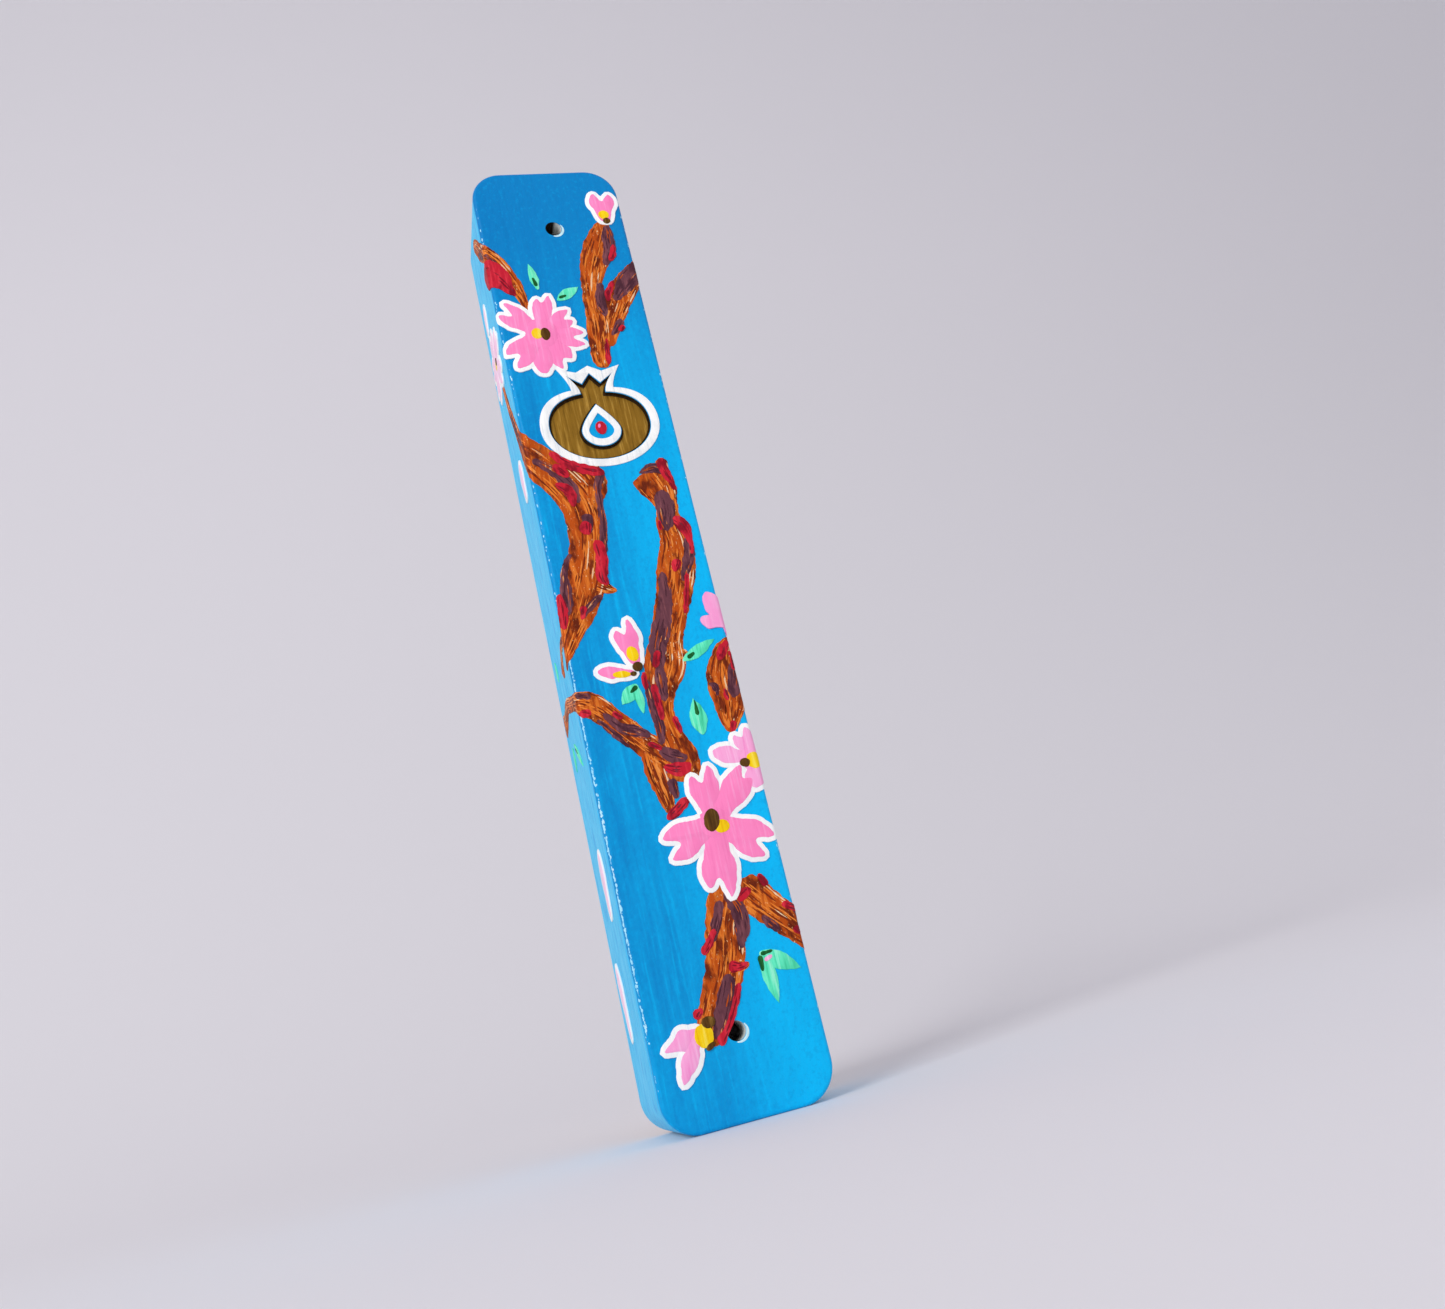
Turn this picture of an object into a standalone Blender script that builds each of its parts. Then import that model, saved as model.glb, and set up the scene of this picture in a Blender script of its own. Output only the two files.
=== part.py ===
"""Mezuzah case: a painted wooden block that holds a rolled parchment in its back.

The block stands upright along Z with its front towards -Y and its back, which goes against the doorpost,
towards +Y. The origin is the middle of the block. All sizes are in metres.
"""

import math

import bmesh
import bpy

OBJECT_NAME = "mezuzah_case"

# The wooden block.
CASE_WIDTH = 0.020
CASE_DEPTH = 0.014
CASE_HEIGHT = 0.126
CORNER_RADIUS = 0.0042
EDGE_ROUND = 0.0005

# The two nail holes on the centre line.
NAIL_HOLE_RADIUS = 0.0011
NAIL_HOLE_SPACING = 0.107

# The channel routed in the back for the scroll, and the rebate around it for the cover.
ROUTER_RADIUS = 0.003
CHANNEL_WIDTH = 0.0096
CHANNEL_LENGTH = 0.094
FRONT_WALL = 0.003
REBATE_MARGIN = 0.0014
REBATE_DEPTH = 0.0022
NAIL_NOTCH_RADIUS = 0.0026

# The back cover. Gaps between touching pieces are all FIT_GAP.
FIT_GAP = 0.0003
COVER_THICKNESS = 0.0016
COVER_EDGE_ROUND = 0.0003

# The rolled parchment and its clear sleeve.
SCROLL_LENGTH = 0.080
PARCHMENT_THICKNESS = 0.0003
PARCHMENT_PITCH = 0.00062
SCROLL_BORE_RADIUS = 0.0016
SCROLL_OUTER_RADIUS = 0.0035
SLEEVE_LENGTH = 0.082
SLEEVE_WALL = 0.0003

# The shallow emblem on the front: a pomegranate with a seed-shaped window left standing in its middle.
EMBLEM_X = 0.0003
EMBLEM_Z = 0.0229
EMBLEM_DEPTH = 0.0005
FRUIT_HALF_WIDTH = 0.0066
FRUIT_HALF_HEIGHT = 0.0049
CROWN_TIP = 0.0076
CROWN_HALF_WIDTH = 0.0030
CROWN_VALLEY_X = 0.0012
CROWN_VALLEY_Z = 0.0061
NECK_X = 0.0016
NECK_Z = 0.0047
WINDOW_HALF_WIDTH = 0.0026
WINDOW_TIP = 0.0031
WINDOW_BOTTOM = -0.0031
WINDOW_WIDEST_Z = -0.0008
# Handle length that makes a Bezier quarter follow a circle.
ROUND_HANDLE = 0.5523

CORNER_SEGMENTS = 6
EDGE_SEGMENTS = 3
HOLE_SIDES = 24
SLEEVE_SIDES = 48
SCROLL_POINTS_PER_TURN = 28
CUT_MARGIN = 0.002


def clear_scene():
    """Remove every object, so that the script starts from nothing."""
    for old in list(bpy.data.objects):
        bpy.data.objects.remove(old, do_unlink=True)


def new_collection(name):
    """Make a collection in the scene."""
    collection = bpy.data.collections.new(name)
    bpy.context.scene.collection.children.link(collection)
    return collection


def move_to(obj, collection):
    """Keep an object in one collection only."""
    for owner in list(obj.users_collection):
        owner.objects.unlink(obj)
    collection.objects.link(obj)
    return obj


def plain_material(name, colour, roughness, metallic=0.0, alpha=1.0):
    """A Principled material with one colour."""
    material = bpy.data.materials.new(name)
    material.use_nodes = True
    shader = material.node_tree.nodes["Principled BSDF"]
    shader.inputs["Base Color"].default_value = (*colour, 1.0)
    shader.inputs["Roughness"].default_value = roughness
    shader.inputs["Metallic"].default_value = metallic
    shader.inputs["Alpha"].default_value = alpha
    return material


def finish(obj, name, material, collection):
    """Name a piece, give it its material and put it in its collection."""
    obj.name = name
    obj.data.name = name
    obj.data.materials.clear()
    obj.data.materials.append(material)
    return move_to(obj, collection)


def rounded_block(size, corner_radius, edge_round=0.0):
    """A block whose four edges along Y have corner_radius, and whose other edges have edge_round."""
    bpy.ops.mesh.primitive_cube_add(size=1.0)
    block = bpy.context.object
    block.scale = size
    bpy.ops.object.transform_apply(location=False, rotation=False, scale=True)
    shape = bmesh.new()
    shape.from_mesh(block.data)
    weight = shape.edges.layers.float.new("bevel_weight_edge")
    for edge in shape.edges:
        low, high = edge.verts
        runs_along_y = abs(low.co.y - high.co.y) > size[1] / 2
        edge[weight] = 1.0 if runs_along_y else 0.0
    shape.to_mesh(block.data)
    shape.free()
    corners = block.modifiers.new("corners", "BEVEL")
    corners.limit_method = "WEIGHT"
    corners.width = corner_radius
    corners.segments = CORNER_SEGMENTS
    if edge_round > 0.0:
        edges = block.modifiers.new("edges", "BEVEL")
        edges.limit_method = "ANGLE"
        edges.angle_limit = math.radians(60.0)
        edges.width = edge_round
        edges.segments = EDGE_SEGMENTS
    return block


def as_cutter(obj, name, collection):
    """Mark an object as a cutter: it shapes other pieces and isn't a piece itself."""
    obj.name = name
    obj.hide_render = True
    obj.display_type = "WIRE"
    return move_to(obj, collection)


def cut(piece, cutter):
    """Cut one object out of another."""
    boolean = piece.modifiers.new(cutter.name, "BOOLEAN")
    boolean.operation = "DIFFERENCE"
    boolean.solver = "EXACT"
    boolean.object = cutter


def pocket_from_back(name, width, length, depth, radius, collection):
    """A routed pocket with rounded corners, open at the back face."""
    pocket = rounded_block((width, depth + CUT_MARGIN, length), radius)
    pocket.location.y = CASE_DEPTH / 2 - depth + (depth + CUT_MARGIN) / 2
    return as_cutter(pocket, name, collection)


def round_hole(name, radius, z, collection, y=0.0, depth=CASE_DEPTH + 2 * CUT_MARGIN):
    """A hole drilled along Y."""
    bpy.ops.mesh.primitive_cylinder_add(
        vertices=HOLE_SIDES,
        radius=radius,
        depth=depth,
        location=(0.0, y, z),
        rotation=(math.pi / 2, 0.0, 0.0),
    )
    return as_cutter(bpy.context.object, name, collection)


def add_spline(curve, points):
    """Add a closed Bezier spline from (point, left handle, right handle) triples in the XY plane."""
    spline = curve.splines.new("BEZIER")
    spline.bezier_points.add(len(points) - 1)
    for bezier, (middle, left, right) in zip(spline.bezier_points, points):
        bezier.handle_left_type = "FREE"
        bezier.handle_right_type = "FREE"
        bezier.co = (*middle, 0.0)
        bezier.handle_left = (*left, 0.0)
        bezier.handle_right = (*right, 0.0)
    spline.use_cyclic_u = True


def sharp(x, z):
    """A corner point with short handles, so that straight lines leave it."""
    return ((x, z), (x, z), (x, z))


def fruit_outline():
    """The pomegranate's outline, from the middle tooth of its crown clockwise."""
    side = ROUND_HANDLE * FRUIT_HALF_HEIGHT
    foot = ROUND_HANDLE * FRUIT_HALF_WIDTH
    shoulder = (FRUIT_HALF_WIDTH * 0.72, NECK_Z - 0.0003)
    right = [
        sharp(CROWN_VALLEY_X, CROWN_VALLEY_Z),
        sharp(CROWN_HALF_WIDTH, CROWN_TIP - 0.0002),
        ((NECK_X, NECK_Z), (NECK_X, NECK_Z + 0.0012), shoulder),
        ((FRUIT_HALF_WIDTH, 0.0), (FRUIT_HALF_WIDTH, side), (FRUIT_HALF_WIDTH, -side)),
    ]
    bottom = ((0.0, -FRUIT_HALF_HEIGHT), (foot, -FRUIT_HALF_HEIGHT), (-foot, -FRUIT_HALF_HEIGHT))
    left = [tuple((-x, z) for x, z in (middle, after, before)) for middle, before, after in reversed(right)]
    return [sharp(0.0, CROWN_TIP), *right, bottom, *left]


def window_outline():
    """The seed-shaped window, a drop with its point up."""
    side = ROUND_HANDLE * (WINDOW_WIDEST_Z - WINDOW_BOTTOM)
    foot = ROUND_HANDLE * WINDOW_HALF_WIDTH
    widest = WINDOW_WIDEST_Z
    right = ((WINDOW_HALF_WIDTH, widest), (WINDOW_HALF_WIDTH, widest + side), (WINDOW_HALF_WIDTH, widest - side))
    left = ((-WINDOW_HALF_WIDTH, widest), (-WINDOW_HALF_WIDTH, widest - side), (-WINDOW_HALF_WIDTH, widest + side))
    bottom = ((0.0, WINDOW_BOTTOM), (foot, WINDOW_BOTTOM), (-foot, WINDOW_BOTTOM))
    return [sharp(0.0, WINDOW_TIP), right, bottom, left]


def emblem_cutter(collection):
    """The emblem's pocket as a solid that stands through the front face."""
    outline = bpy.data.curves.new("emblem_outline", "CURVE")
    outline.dimensions = "2D"
    outline.fill_mode = "BOTH"
    outline.resolution_u = 8
    outline.extrude = EMBLEM_DEPTH
    add_spline(outline, fruit_outline())
    add_spline(outline, window_outline())
    drawn = bpy.data.objects.new("emblem_outline", outline)
    drawn.location = (EMBLEM_X, -CASE_DEPTH / 2, EMBLEM_Z)
    drawn.rotation_euler = (math.pi / 2, 0.0, 0.0)
    bpy.context.scene.collection.objects.link(drawn)
    bpy.context.view_layer.update()
    evaluated = drawn.evaluated_get(bpy.context.evaluated_depsgraph_get())
    mesh = bpy.data.meshes.new_from_object(evaluated)
    solid = bpy.data.objects.new("emblem_pocket", mesh)
    solid.matrix_world = drawn.matrix_world
    bpy.data.objects.remove(drawn, do_unlink=True)
    shape = bmesh.new()
    shape.from_mesh(mesh)
    bmesh.ops.remove_doubles(shape, verts=shape.verts, dist=0.000001)
    shape.to_mesh(mesh)
    shape.free()
    bpy.context.scene.collection.objects.link(solid)
    return as_cutter(solid, "emblem_pocket", collection)


def build_case_body(parts, cutters):
    """The wooden block with its channel, rebate, nail holes, fingernail notch and emblem."""
    body = rounded_block((CASE_WIDTH, CASE_DEPTH, CASE_HEIGHT), CORNER_RADIUS, EDGE_ROUND)
    rebate_length = CHANNEL_LENGTH + 2 * REBATE_MARGIN
    cut(body, pocket_from_back(
        "channel_cutter", CHANNEL_WIDTH, CHANNEL_LENGTH, CASE_DEPTH - FRONT_WALL, ROUTER_RADIUS, cutters))
    cut(body, pocket_from_back(
        "rebate_cutter", CHANNEL_WIDTH + 2 * REBATE_MARGIN, rebate_length, REBATE_DEPTH, ROUTER_RADIUS, cutters))
    for name, side in (("upper_nail_hole", 1), ("lower_nail_hole", -1)):
        cut(body, round_hole(name, NAIL_HOLE_RADIUS, side * NAIL_HOLE_SPACING / 2, cutters))
    notch_y = CASE_DEPTH / 2 - REBATE_DEPTH + (REBATE_DEPTH + CUT_MARGIN) / 2
    cut(body, round_hole(
        "fingernail_notch", NAIL_NOTCH_RADIUS, -rebate_length / 2, cutters, notch_y, REBATE_DEPTH + CUT_MARGIN))
    cut(body, emblem_cutter(cutters))
    paint = plain_material("blue_paint", (0.0, 0.28, 0.75), 0.45)
    return finish(body, "case_body", paint, parts)


def build_back_cover(parts):
    """The thin plate that drops into the rebate. Its outer face lies just below the back of the block."""
    width = CHANNEL_WIDTH + 2 * REBATE_MARGIN - 2 * FIT_GAP
    length = CHANNEL_LENGTH + 2 * REBATE_MARGIN - 2 * FIT_GAP
    cover = rounded_block((width, COVER_THICKNESS, length), ROUTER_RADIUS - FIT_GAP, COVER_EDGE_ROUND)
    cover.location.y = CASE_DEPTH / 2 - REBATE_DEPTH + FIT_GAP + COVER_THICKNESS / 2
    wood = plain_material("cover_wood", (0.55, 0.38, 0.22), 0.6)
    return finish(cover, "back_cover", wood, parts)


def scroll_centre_y():
    """The roll lies a fit gap behind the front wall."""
    sleeve_radius = SCROLL_OUTER_RADIUS + FIT_GAP + SLEEVE_WALL
    return -CASE_DEPTH / 2 + FRONT_WALL + FIT_GAP + sleeve_radius


def build_scroll(parts):
    """The parchment, rolled as an open spiral sheet and given its thickness."""
    first = SCROLL_BORE_RADIUS + PARCHMENT_THICKNESS
    turns = (SCROLL_OUTER_RADIUS - first) / PARCHMENT_PITCH
    steps = round(turns * SCROLL_POINTS_PER_TURN)
    shape = bmesh.new()
    line = []
    for step in range(steps + 1):
        turn = turns * step / steps
        radius = first + PARCHMENT_PITCH * turn
        angle = math.tau * turn
        line.append(shape.verts.new((radius * math.cos(angle), radius * math.sin(angle), -SCROLL_LENGTH / 2)))
    edges = [shape.edges.new(pair) for pair in zip(line, line[1:])]
    grown = bmesh.ops.extrude_edge_only(shape, edges=edges)
    top = [item for item in grown["geom"] if isinstance(item, bmesh.types.BMVert)]
    bmesh.ops.translate(shape, verts=top, vec=(0.0, 0.0, SCROLL_LENGTH))
    mesh = bpy.data.meshes.new("scroll")
    shape.to_mesh(mesh)
    shape.free()
    scroll = bpy.data.objects.new("scroll", mesh)
    bpy.context.scene.collection.objects.link(scroll)
    scroll.location.y = scroll_centre_y()
    sheet = scroll.modifiers.new("sheet", "SOLIDIFY")
    sheet.thickness = PARCHMENT_THICKNESS
    sheet.offset = 1.0
    sheet.use_even_offset = True
    parchment = plain_material("parchment", (0.86, 0.76, 0.58), 0.7)
    return finish(scroll, "scroll", parchment, parts)


def build_sleeve(parts):
    """The clear sleeve, an open tube around the roll."""
    bpy.ops.mesh.primitive_cylinder_add(
        vertices=SLEEVE_SIDES,
        radius=SCROLL_OUTER_RADIUS + FIT_GAP,
        depth=SLEEVE_LENGTH,
        end_fill_type="NOTHING",
        location=(0.0, scroll_centre_y(), 0.0),
    )
    sleeve = bpy.context.object
    wall = sleeve.modifiers.new("wall", "SOLIDIFY")
    wall.thickness = SLEEVE_WALL
    wall.offset = 1.0
    wall.use_even_offset = True
    sleeve.data.shade_smooth()
    film = plain_material("clear_film", (0.92, 0.94, 0.95), 0.15, alpha=0.35)
    return finish(sleeve, "scroll_sleeve", film, parts)


def main():
    """Build the case, its cover and the wrapped scroll."""
    clear_scene()
    parts = new_collection(OBJECT_NAME)
    cutters = new_collection("cutters")
    build_case_body(parts, cutters)
    build_back_cover(parts)
    build_scroll(parts)
    build_sleeve(parts)


main()
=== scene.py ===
"""Looks for a wooden mezuzah case painted by hand with a blossoming branch on a blue ground.

The file is laid out as an add-on. Each operator makes one piece, or one group of like pieces, around the
case's frame. The row frame has +Z up the case, -Y out of its painted front and +X to the right.
"""

import math
import random

import bmesh
import bpy
from mathutils import Matrix, Vector, noise
from mathutils.bvhtree import BVHTree


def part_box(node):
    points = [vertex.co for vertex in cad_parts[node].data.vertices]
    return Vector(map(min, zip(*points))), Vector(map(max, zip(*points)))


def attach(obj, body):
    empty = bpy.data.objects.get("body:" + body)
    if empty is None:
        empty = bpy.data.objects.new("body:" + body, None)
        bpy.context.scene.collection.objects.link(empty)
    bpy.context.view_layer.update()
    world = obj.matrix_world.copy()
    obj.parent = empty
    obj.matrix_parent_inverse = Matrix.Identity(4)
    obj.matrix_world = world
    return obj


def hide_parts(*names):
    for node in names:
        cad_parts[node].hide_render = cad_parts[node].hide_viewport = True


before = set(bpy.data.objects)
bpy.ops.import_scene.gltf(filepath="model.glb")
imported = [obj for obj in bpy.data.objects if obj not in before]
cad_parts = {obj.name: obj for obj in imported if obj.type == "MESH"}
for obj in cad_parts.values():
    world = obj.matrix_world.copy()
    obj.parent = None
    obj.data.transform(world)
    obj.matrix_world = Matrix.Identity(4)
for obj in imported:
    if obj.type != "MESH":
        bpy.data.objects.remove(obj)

bl_info = {
    "name": "Painted mezuzah case",
    "version": (1, 0, 0),
    "blender": (4, 5, 0),
    "location": "3D View > Sidebar > Mezuzah",
    "description": "Builds a hand-painted wooden mezuzah case, its cover and its scroll",
    "category": "Object",
}

MM = 0.001
# How far each coat of paint stands off the wood, in millimetres.
COPPER_COAT, PLUM_COAT, CRIMSON_COAT = 0.050, 0.078, 0.106
LEAF_COAT, LEAF_DAB_COAT, WHITE_COAT, PETAL_COAT = 0.090, 0.120, 0.135, 0.160
YELLOW_COAT, BROWN_COAT, WEAR_AND_HIGHLIGHT_COAT = 0.200, 0.230, 0.012
# The longest rounded tip that a stroke has, in millimetres.
BRUSH_TIP = 0.65
# Points of a mesh that are nearer than this, in metres, are one point.
WELD = 0.0000005
# Sharper bends than these, in degrees, are shaded as creases.
PAINT_CREASE, WOOD_CREASE = 50.0, 35.0
# Straight pieces that a Bezier curve has between two of its points.
CURVE_STEPS = 14
# The handles that make four Bezier points a circle, for a radius of 1.
ROUND_HANDLE = 0.5523
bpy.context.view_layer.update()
CASE_LOW, CASE_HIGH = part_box("case_body")
COVER_LOW, COVER_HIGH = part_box("back_cover")
SCROLL_LOW, SCROLL_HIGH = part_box("scroll")
SLEEVE_LOW, SLEEVE_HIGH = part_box("scroll_sleeve")
FRONT_Y = CASE_LOW.y
BACK_Y = CASE_HIGH.y


def linear(red, green, blue):
    """A colour given as 0 to 255 on a screen, in the linear values that a shader takes."""
    steps = [value / 255 for value in (red, green, blue)]
    return tuple(s / 12.92 if s <= 0.04045 else ((s + 0.055) / 1.055) ** 2.4 for s in steps)


def length_property(name, description, default):
    """A size in metres for a property group."""
    return bpy.props.FloatProperty(
        name=name, description=description, default=default, unit="LENGTH", precision=5)


def colour_property(name, description, screen):
    """A colour for a property group, given as 0 to 255."""
    return bpy.props.FloatVectorProperty(
        name=name, description=description, default=linear(*screen), subtype="COLOR", size=3, min=0.0,
        max=1.0)


class CaseSizes(bpy.types.PropertyGroup):
    """Sizes of the block, of what is cut in it, and of the rolled sheet."""

    corner_radius: length_property("Corner radius", "Rounding of the block's four corners", 0.0042)
    edge_round: length_property("Edge round", "Sanded rounding of the long edges", 0.0005)
    hole_radius: length_property("Nail hole radius", "Radius of the two nail holes", 0.0011)
    hole_spacing: length_property("Nail hole spacing", "Distance between the nail holes", 0.107)
    router_radius: length_property("Router radius", "Corner radius of the channel and the rebate", 0.003)
    channel_width: length_property("Channel width", "Width of the scroll channel", 0.0096)
    channel_length: length_property("Channel length", "Length of the scroll channel", 0.094)
    front_wall: length_property("Front wall", "Wood left in front of the channel", 0.003)
    rebate_margin: length_property("Rebate margin", "How far the cover's rebate passes the channel", 0.0014)
    rebate_depth: length_property("Rebate depth", "Depth of the cover's rebate", 0.0022)
    notch_radius: length_property("Notch radius", "Radius of the fingernail notch", 0.0026)
    emblem_x: length_property("Emblem X", "Middle of the emblem across the case", 0.0003)
    emblem_z: length_property("Emblem Z", "Middle of the emblem up the case", 0.0229)
    emblem_depth: length_property("Emblem depth", "Depth of the engraved emblem", 0.0005)
    parchment_thickness: length_property("Parchment thickness", "Thickness of the rolled sheet", 0.00026)
    parchment_pitch: length_property("Roll pitch", "Growth of the roll's radius in one turn", 0.00062)


class PaintColours(bpy.types.PropertyGroup):
    """Colours of the paints and of the bare materials."""

    blue: colour_property("Blue ground", "Brushed ground on the front", (0, 148, 212))
    blue_deep: colour_property("Deep blue", "Shaded streaks of the ground", (0, 122, 190))
    # Bright blue is also the colour of the painted light that brightens the front towards the bottom and the
    # right.
    blue_bright: colour_property("Bright blue", "Bright streaks of the ground", (0, 190, 248))
    # The sides' blue is painted light: lighter than the front, for the light and sheen that the sides catch.
    side_blue_painted_light: colour_property("Side blue", "Thinner paint on the sides", (58, 194, 242))
    # The pale marks along the long edges are partly wear and partly a painted highlight along the lit left
    # edge.
    edge_wear_and_highlight: colour_property("Edge wear and highlight", "Paint worn pale along the edges", (168, 226, 244))
    copper: colour_property("Copper", "Bark's metallic orange", (186, 78, 14))
    copper_deep: colour_property("Deep copper", "Bark's dark streaks", (106, 36, 12))
    copper_bright: colour_property("Bright copper", "Bark's bright streaks", (232, 128, 44))
    tan: colour_property("Tan", "Dry brushed highlights of the bark", (240, 196, 150))
    plum: colour_property("Plum", "Bark's purple-brown strokes", (104, 58, 68))
    crimson: colour_property("Crimson", "Bark's red strokes", (196, 26, 48))
    white: colour_property("White", "Outlines", (250, 250, 246))
    pink: colour_property("Pink", "Petals", (255, 136, 192))
    pink_pale: colour_property("Pale pink", "Petals near the edges", (250, 168, 214))
    pink_faint: colour_property("Faint pink", "Side petals", (250, 212, 234))
    yellow: colour_property("Yellow", "Flower centres", (250, 212, 12))
    brown: colour_property("Brown", "Dots in the flower centres", (92, 60, 16))
    mint: colour_property("Mint", "Leaves", (98, 238, 190))
    leaf_green: colour_property("Leaf green", "Dabs on the leaves", (18, 92, 40))
    gold: colour_property("Gold", "Metallic paint in the emblem", (148, 108, 32))
    burnt: colour_property("Burnt wood", "Scorched rim of the engraving", (58, 38, 14))
    wood: colour_property("Bare wood", "Back of the block and the cover", (222, 190, 146))
    wood_deep: colour_property("Wood grain", "Dark grain in the bare wood", (182, 140, 96))
    parchment: colour_property("Parchment", "Rolled sheet", (236, 216, 172))


class StageSettings(bpy.types.PropertyGroup):
    """Camera, lights and floor."""

    camera_place: bpy.props.FloatVectorProperty(
        name="Camera place", description="Where the camera stands", default=(-0.03116, -0.13852, -0.05102),
        subtype="TRANSLATION", unit="LENGTH", precision=5)
    camera_aim: bpy.props.FloatVectorProperty(
        name="Camera aim", description="Point on the front that the camera looks at",
        default=(0.00885, -0.007, -0.01031), subtype="TRANSLATION", unit="LENGTH", precision=5)
    camera_roll: bpy.props.FloatProperty(
        name="Camera roll", description="Clockwise tilt of the camera", default=math.radians(13.87),
        subtype="ANGLE")
    lens: bpy.props.FloatProperty(name="Lens", description="Focal length in millimetres", default=29.04)
    floor_size: length_property("Floor size", "Depth of the floor in front of the wall", 3.0)


# ---------------------------------------------------------------------------------------------------------
# Material nodes
# ---------------------------------------------------------------------------------------------------------

# Depth of each finish's relief, in metres.
ACRYLIC_RELIEF, BARK_RELIEF, GROUND_RELIEF = 0.00006, 0.00008, 0.00007
PLYWOOD_RELIEF, PARCHMENT_RELIEF, FILM_RELIEF = 0.00006, 0.00005, 0.00012
# How far the scorched wood can reach: across, from the case's middle, and up and down, from the emblem's.
EMBLEM_REACH_ACROSS, EMBLEM_REACH_UP = 0.0078, 0.009


class Graph:
    """A material under construction. Sockets and plain values can be mixed in every call."""

    def __init__(self, name):
        self.material = bpy.data.materials.new(name)
        self.material.use_nodes = True
        self.nodes = self.material.node_tree.nodes
        self.links = self.material.node_tree.links
        self.shader = self.nodes["Principled BSDF"]
        self.place = self.nodes.new("ShaderNodeTexCoord").outputs["Object"]

    def put(self, socket, value):
        """Link a socket, or set its constant."""
        if isinstance(value, bpy.types.NodeSocket):
            self.links.new(value, socket)
        elif hasattr(value, "__len__") and len(value) == 3 and socket.type == "RGBA":
            socket.default_value = (*value, 1.0)
        else:
            socket.default_value = value

    def math(self, operation, first, second=0.0, clamp=False):
        """One arithmetic step."""
        node = self.nodes.new("ShaderNodeMath")
        node.operation = operation
        node.use_clamp = clamp
        self.put(node.inputs[0], first)
        self.put(node.inputs[1], second)
        return node.outputs[0]

    def plus(self, first, second, clamp=False):
        """The sum of two values."""
        return self.math("ADD", first, second, clamp)

    def minus(self, first, second):
        """The first value less the second."""
        return self.math("SUBTRACT", first, second)

    def times(self, first, second):
        """The product of two values."""
        return self.math("MULTIPLY", first, second)

    def either(self, first, second):
        """The greater of two masks."""
        return self.math("MAXIMUM", first, second)

    def size(self, value):
        """A value without its sign."""
        return self.math("ABSOLUTE", value)

    def within(self, value, limit):
        """A mask of the points where a value is nearer to 0 than the limit."""
        return self.math("LESS_THAN", self.size(value), limit)

    def ramp(self, value, slope, start):
        """A value times a slope, counted from a start."""
        return self.plus(self.times(value, slope), start)

    def weighed(self, first, first_weight, second, second_weight):
        """The sum of two values, each times its weight."""
        return self.plus(self.times(first, first_weight), self.times(second, second_weight))

    def tint(self, tone, mask, amount, colour):
        """A tone with a colour laid over it where the mask is, no stronger than the amount."""
        return self.mix(self.times(mask, amount), tone, colour)

    def mix(self, amount, first, second):
        """A blend of two colours."""
        node = self.nodes.new("ShaderNodeMix")
        node.data_type = "RGBA"
        self.put(node.inputs[0], amount)
        self.put(node.inputs[6], first)
        self.put(node.inputs[7], second)
        return node.outputs[2]

    def step(self, value, low, high):
        """A smooth rise from 0 at low to 1 at high."""
        node = self.nodes.new("ShaderNodeMapRange")
        node.interpolation_type = "SMOOTHSTEP"
        self.put(node.inputs["Value"], value)
        self.put(node.inputs["From Min"], low)
        self.put(node.inputs["From Max"], high)
        return node.outputs["Result"]

    def noise(self, scale, detail=3.0, roughness=0.55, distortion=0.0, offset=(0.0, 0.0, 0.0)):
        """Noise with its own scale, in cells per metre, along X, Y and Z."""
        mapping = self.nodes.new("ShaderNodeMapping")
        self.put(mapping.inputs["Vector"], self.place)
        mapping.inputs["Scale"].default_value = scale
        mapping.inputs["Location"].default_value = offset
        node = self.nodes.new("ShaderNodeTexNoise")
        self.put(node.inputs["Vector"], mapping.outputs["Vector"])
        node.inputs["Scale"].default_value = 1.0
        node.inputs["Detail"].default_value = detail
        node.inputs["Roughness"].default_value = roughness
        node.inputs["Distortion"].default_value = distortion
        return node.outputs["Fac"]

    def axis(self, index):
        """The X, Y or Z of the point, in metres."""
        node = self.nodes.new("ShaderNodeSeparateXYZ")
        self.put(node.inputs[0], self.place)
        return node.outputs[index]

    def bump(self, height, distance):
        """Relief of the surface, in metres."""
        node = self.nodes.new("ShaderNodeBump")
        node.inputs["Strength"].default_value = 1.0
        node.inputs["Distance"].default_value = distance
        self.put(node.inputs["Height"], height)
        return node.outputs["Normal"]

    def finish(self, colour, roughness, normal, metallic=0.0, specular=0.12):
        """Wire the shader and hand the material over."""
        self.put(self.shader.inputs["Base Color"], colour)
        self.put(self.shader.inputs["Roughness"], roughness)
        self.put(self.shader.inputs["Normal"], normal)
        self.put(self.shader.inputs["Metallic"], metallic)
        self.shader.inputs["Specular IOR Level"].default_value = specular
        return self.material


def streaks(graph, across=2600.0, along=170.0, offset=(0.0, 0.0, 0.0)):
    """Fine brush hairs and the wood's raised grain, which both run up the case."""
    return graph.noise((across, across, along), detail=4.0, roughness=0.6, offset=offset)


def brushed_paint(name, colour, deep, bright, roughness=0.45, metallic=0.0, cloudy=0.45):
    """Acrylic laid on with a small brush: bright and deep hairs, cloudy patches and a low relief."""
    graph = Graph(name)
    hairs = streaks(graph)
    clouds = graph.noise((420.0, 420.0, 260.0), detail=3.0)
    tone = graph.mix(graph.step(hairs, 0.50, 0.72), colour, bright)
    tone = graph.mix(graph.step(hairs, 0.48, 0.26), tone, deep)
    tone = graph.tint(tone, graph.step(clouds, 0.42, 0.70), cloudy, deep)
    gloss = graph.ramp(clouds, 0.22, roughness - 0.11)
    height = graph.weighed(hairs, 0.7, clouds, 0.5)
    return graph.finish(tone, gloss, graph.bump(height, ACRYLIC_RELIEF), metallic)


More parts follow.
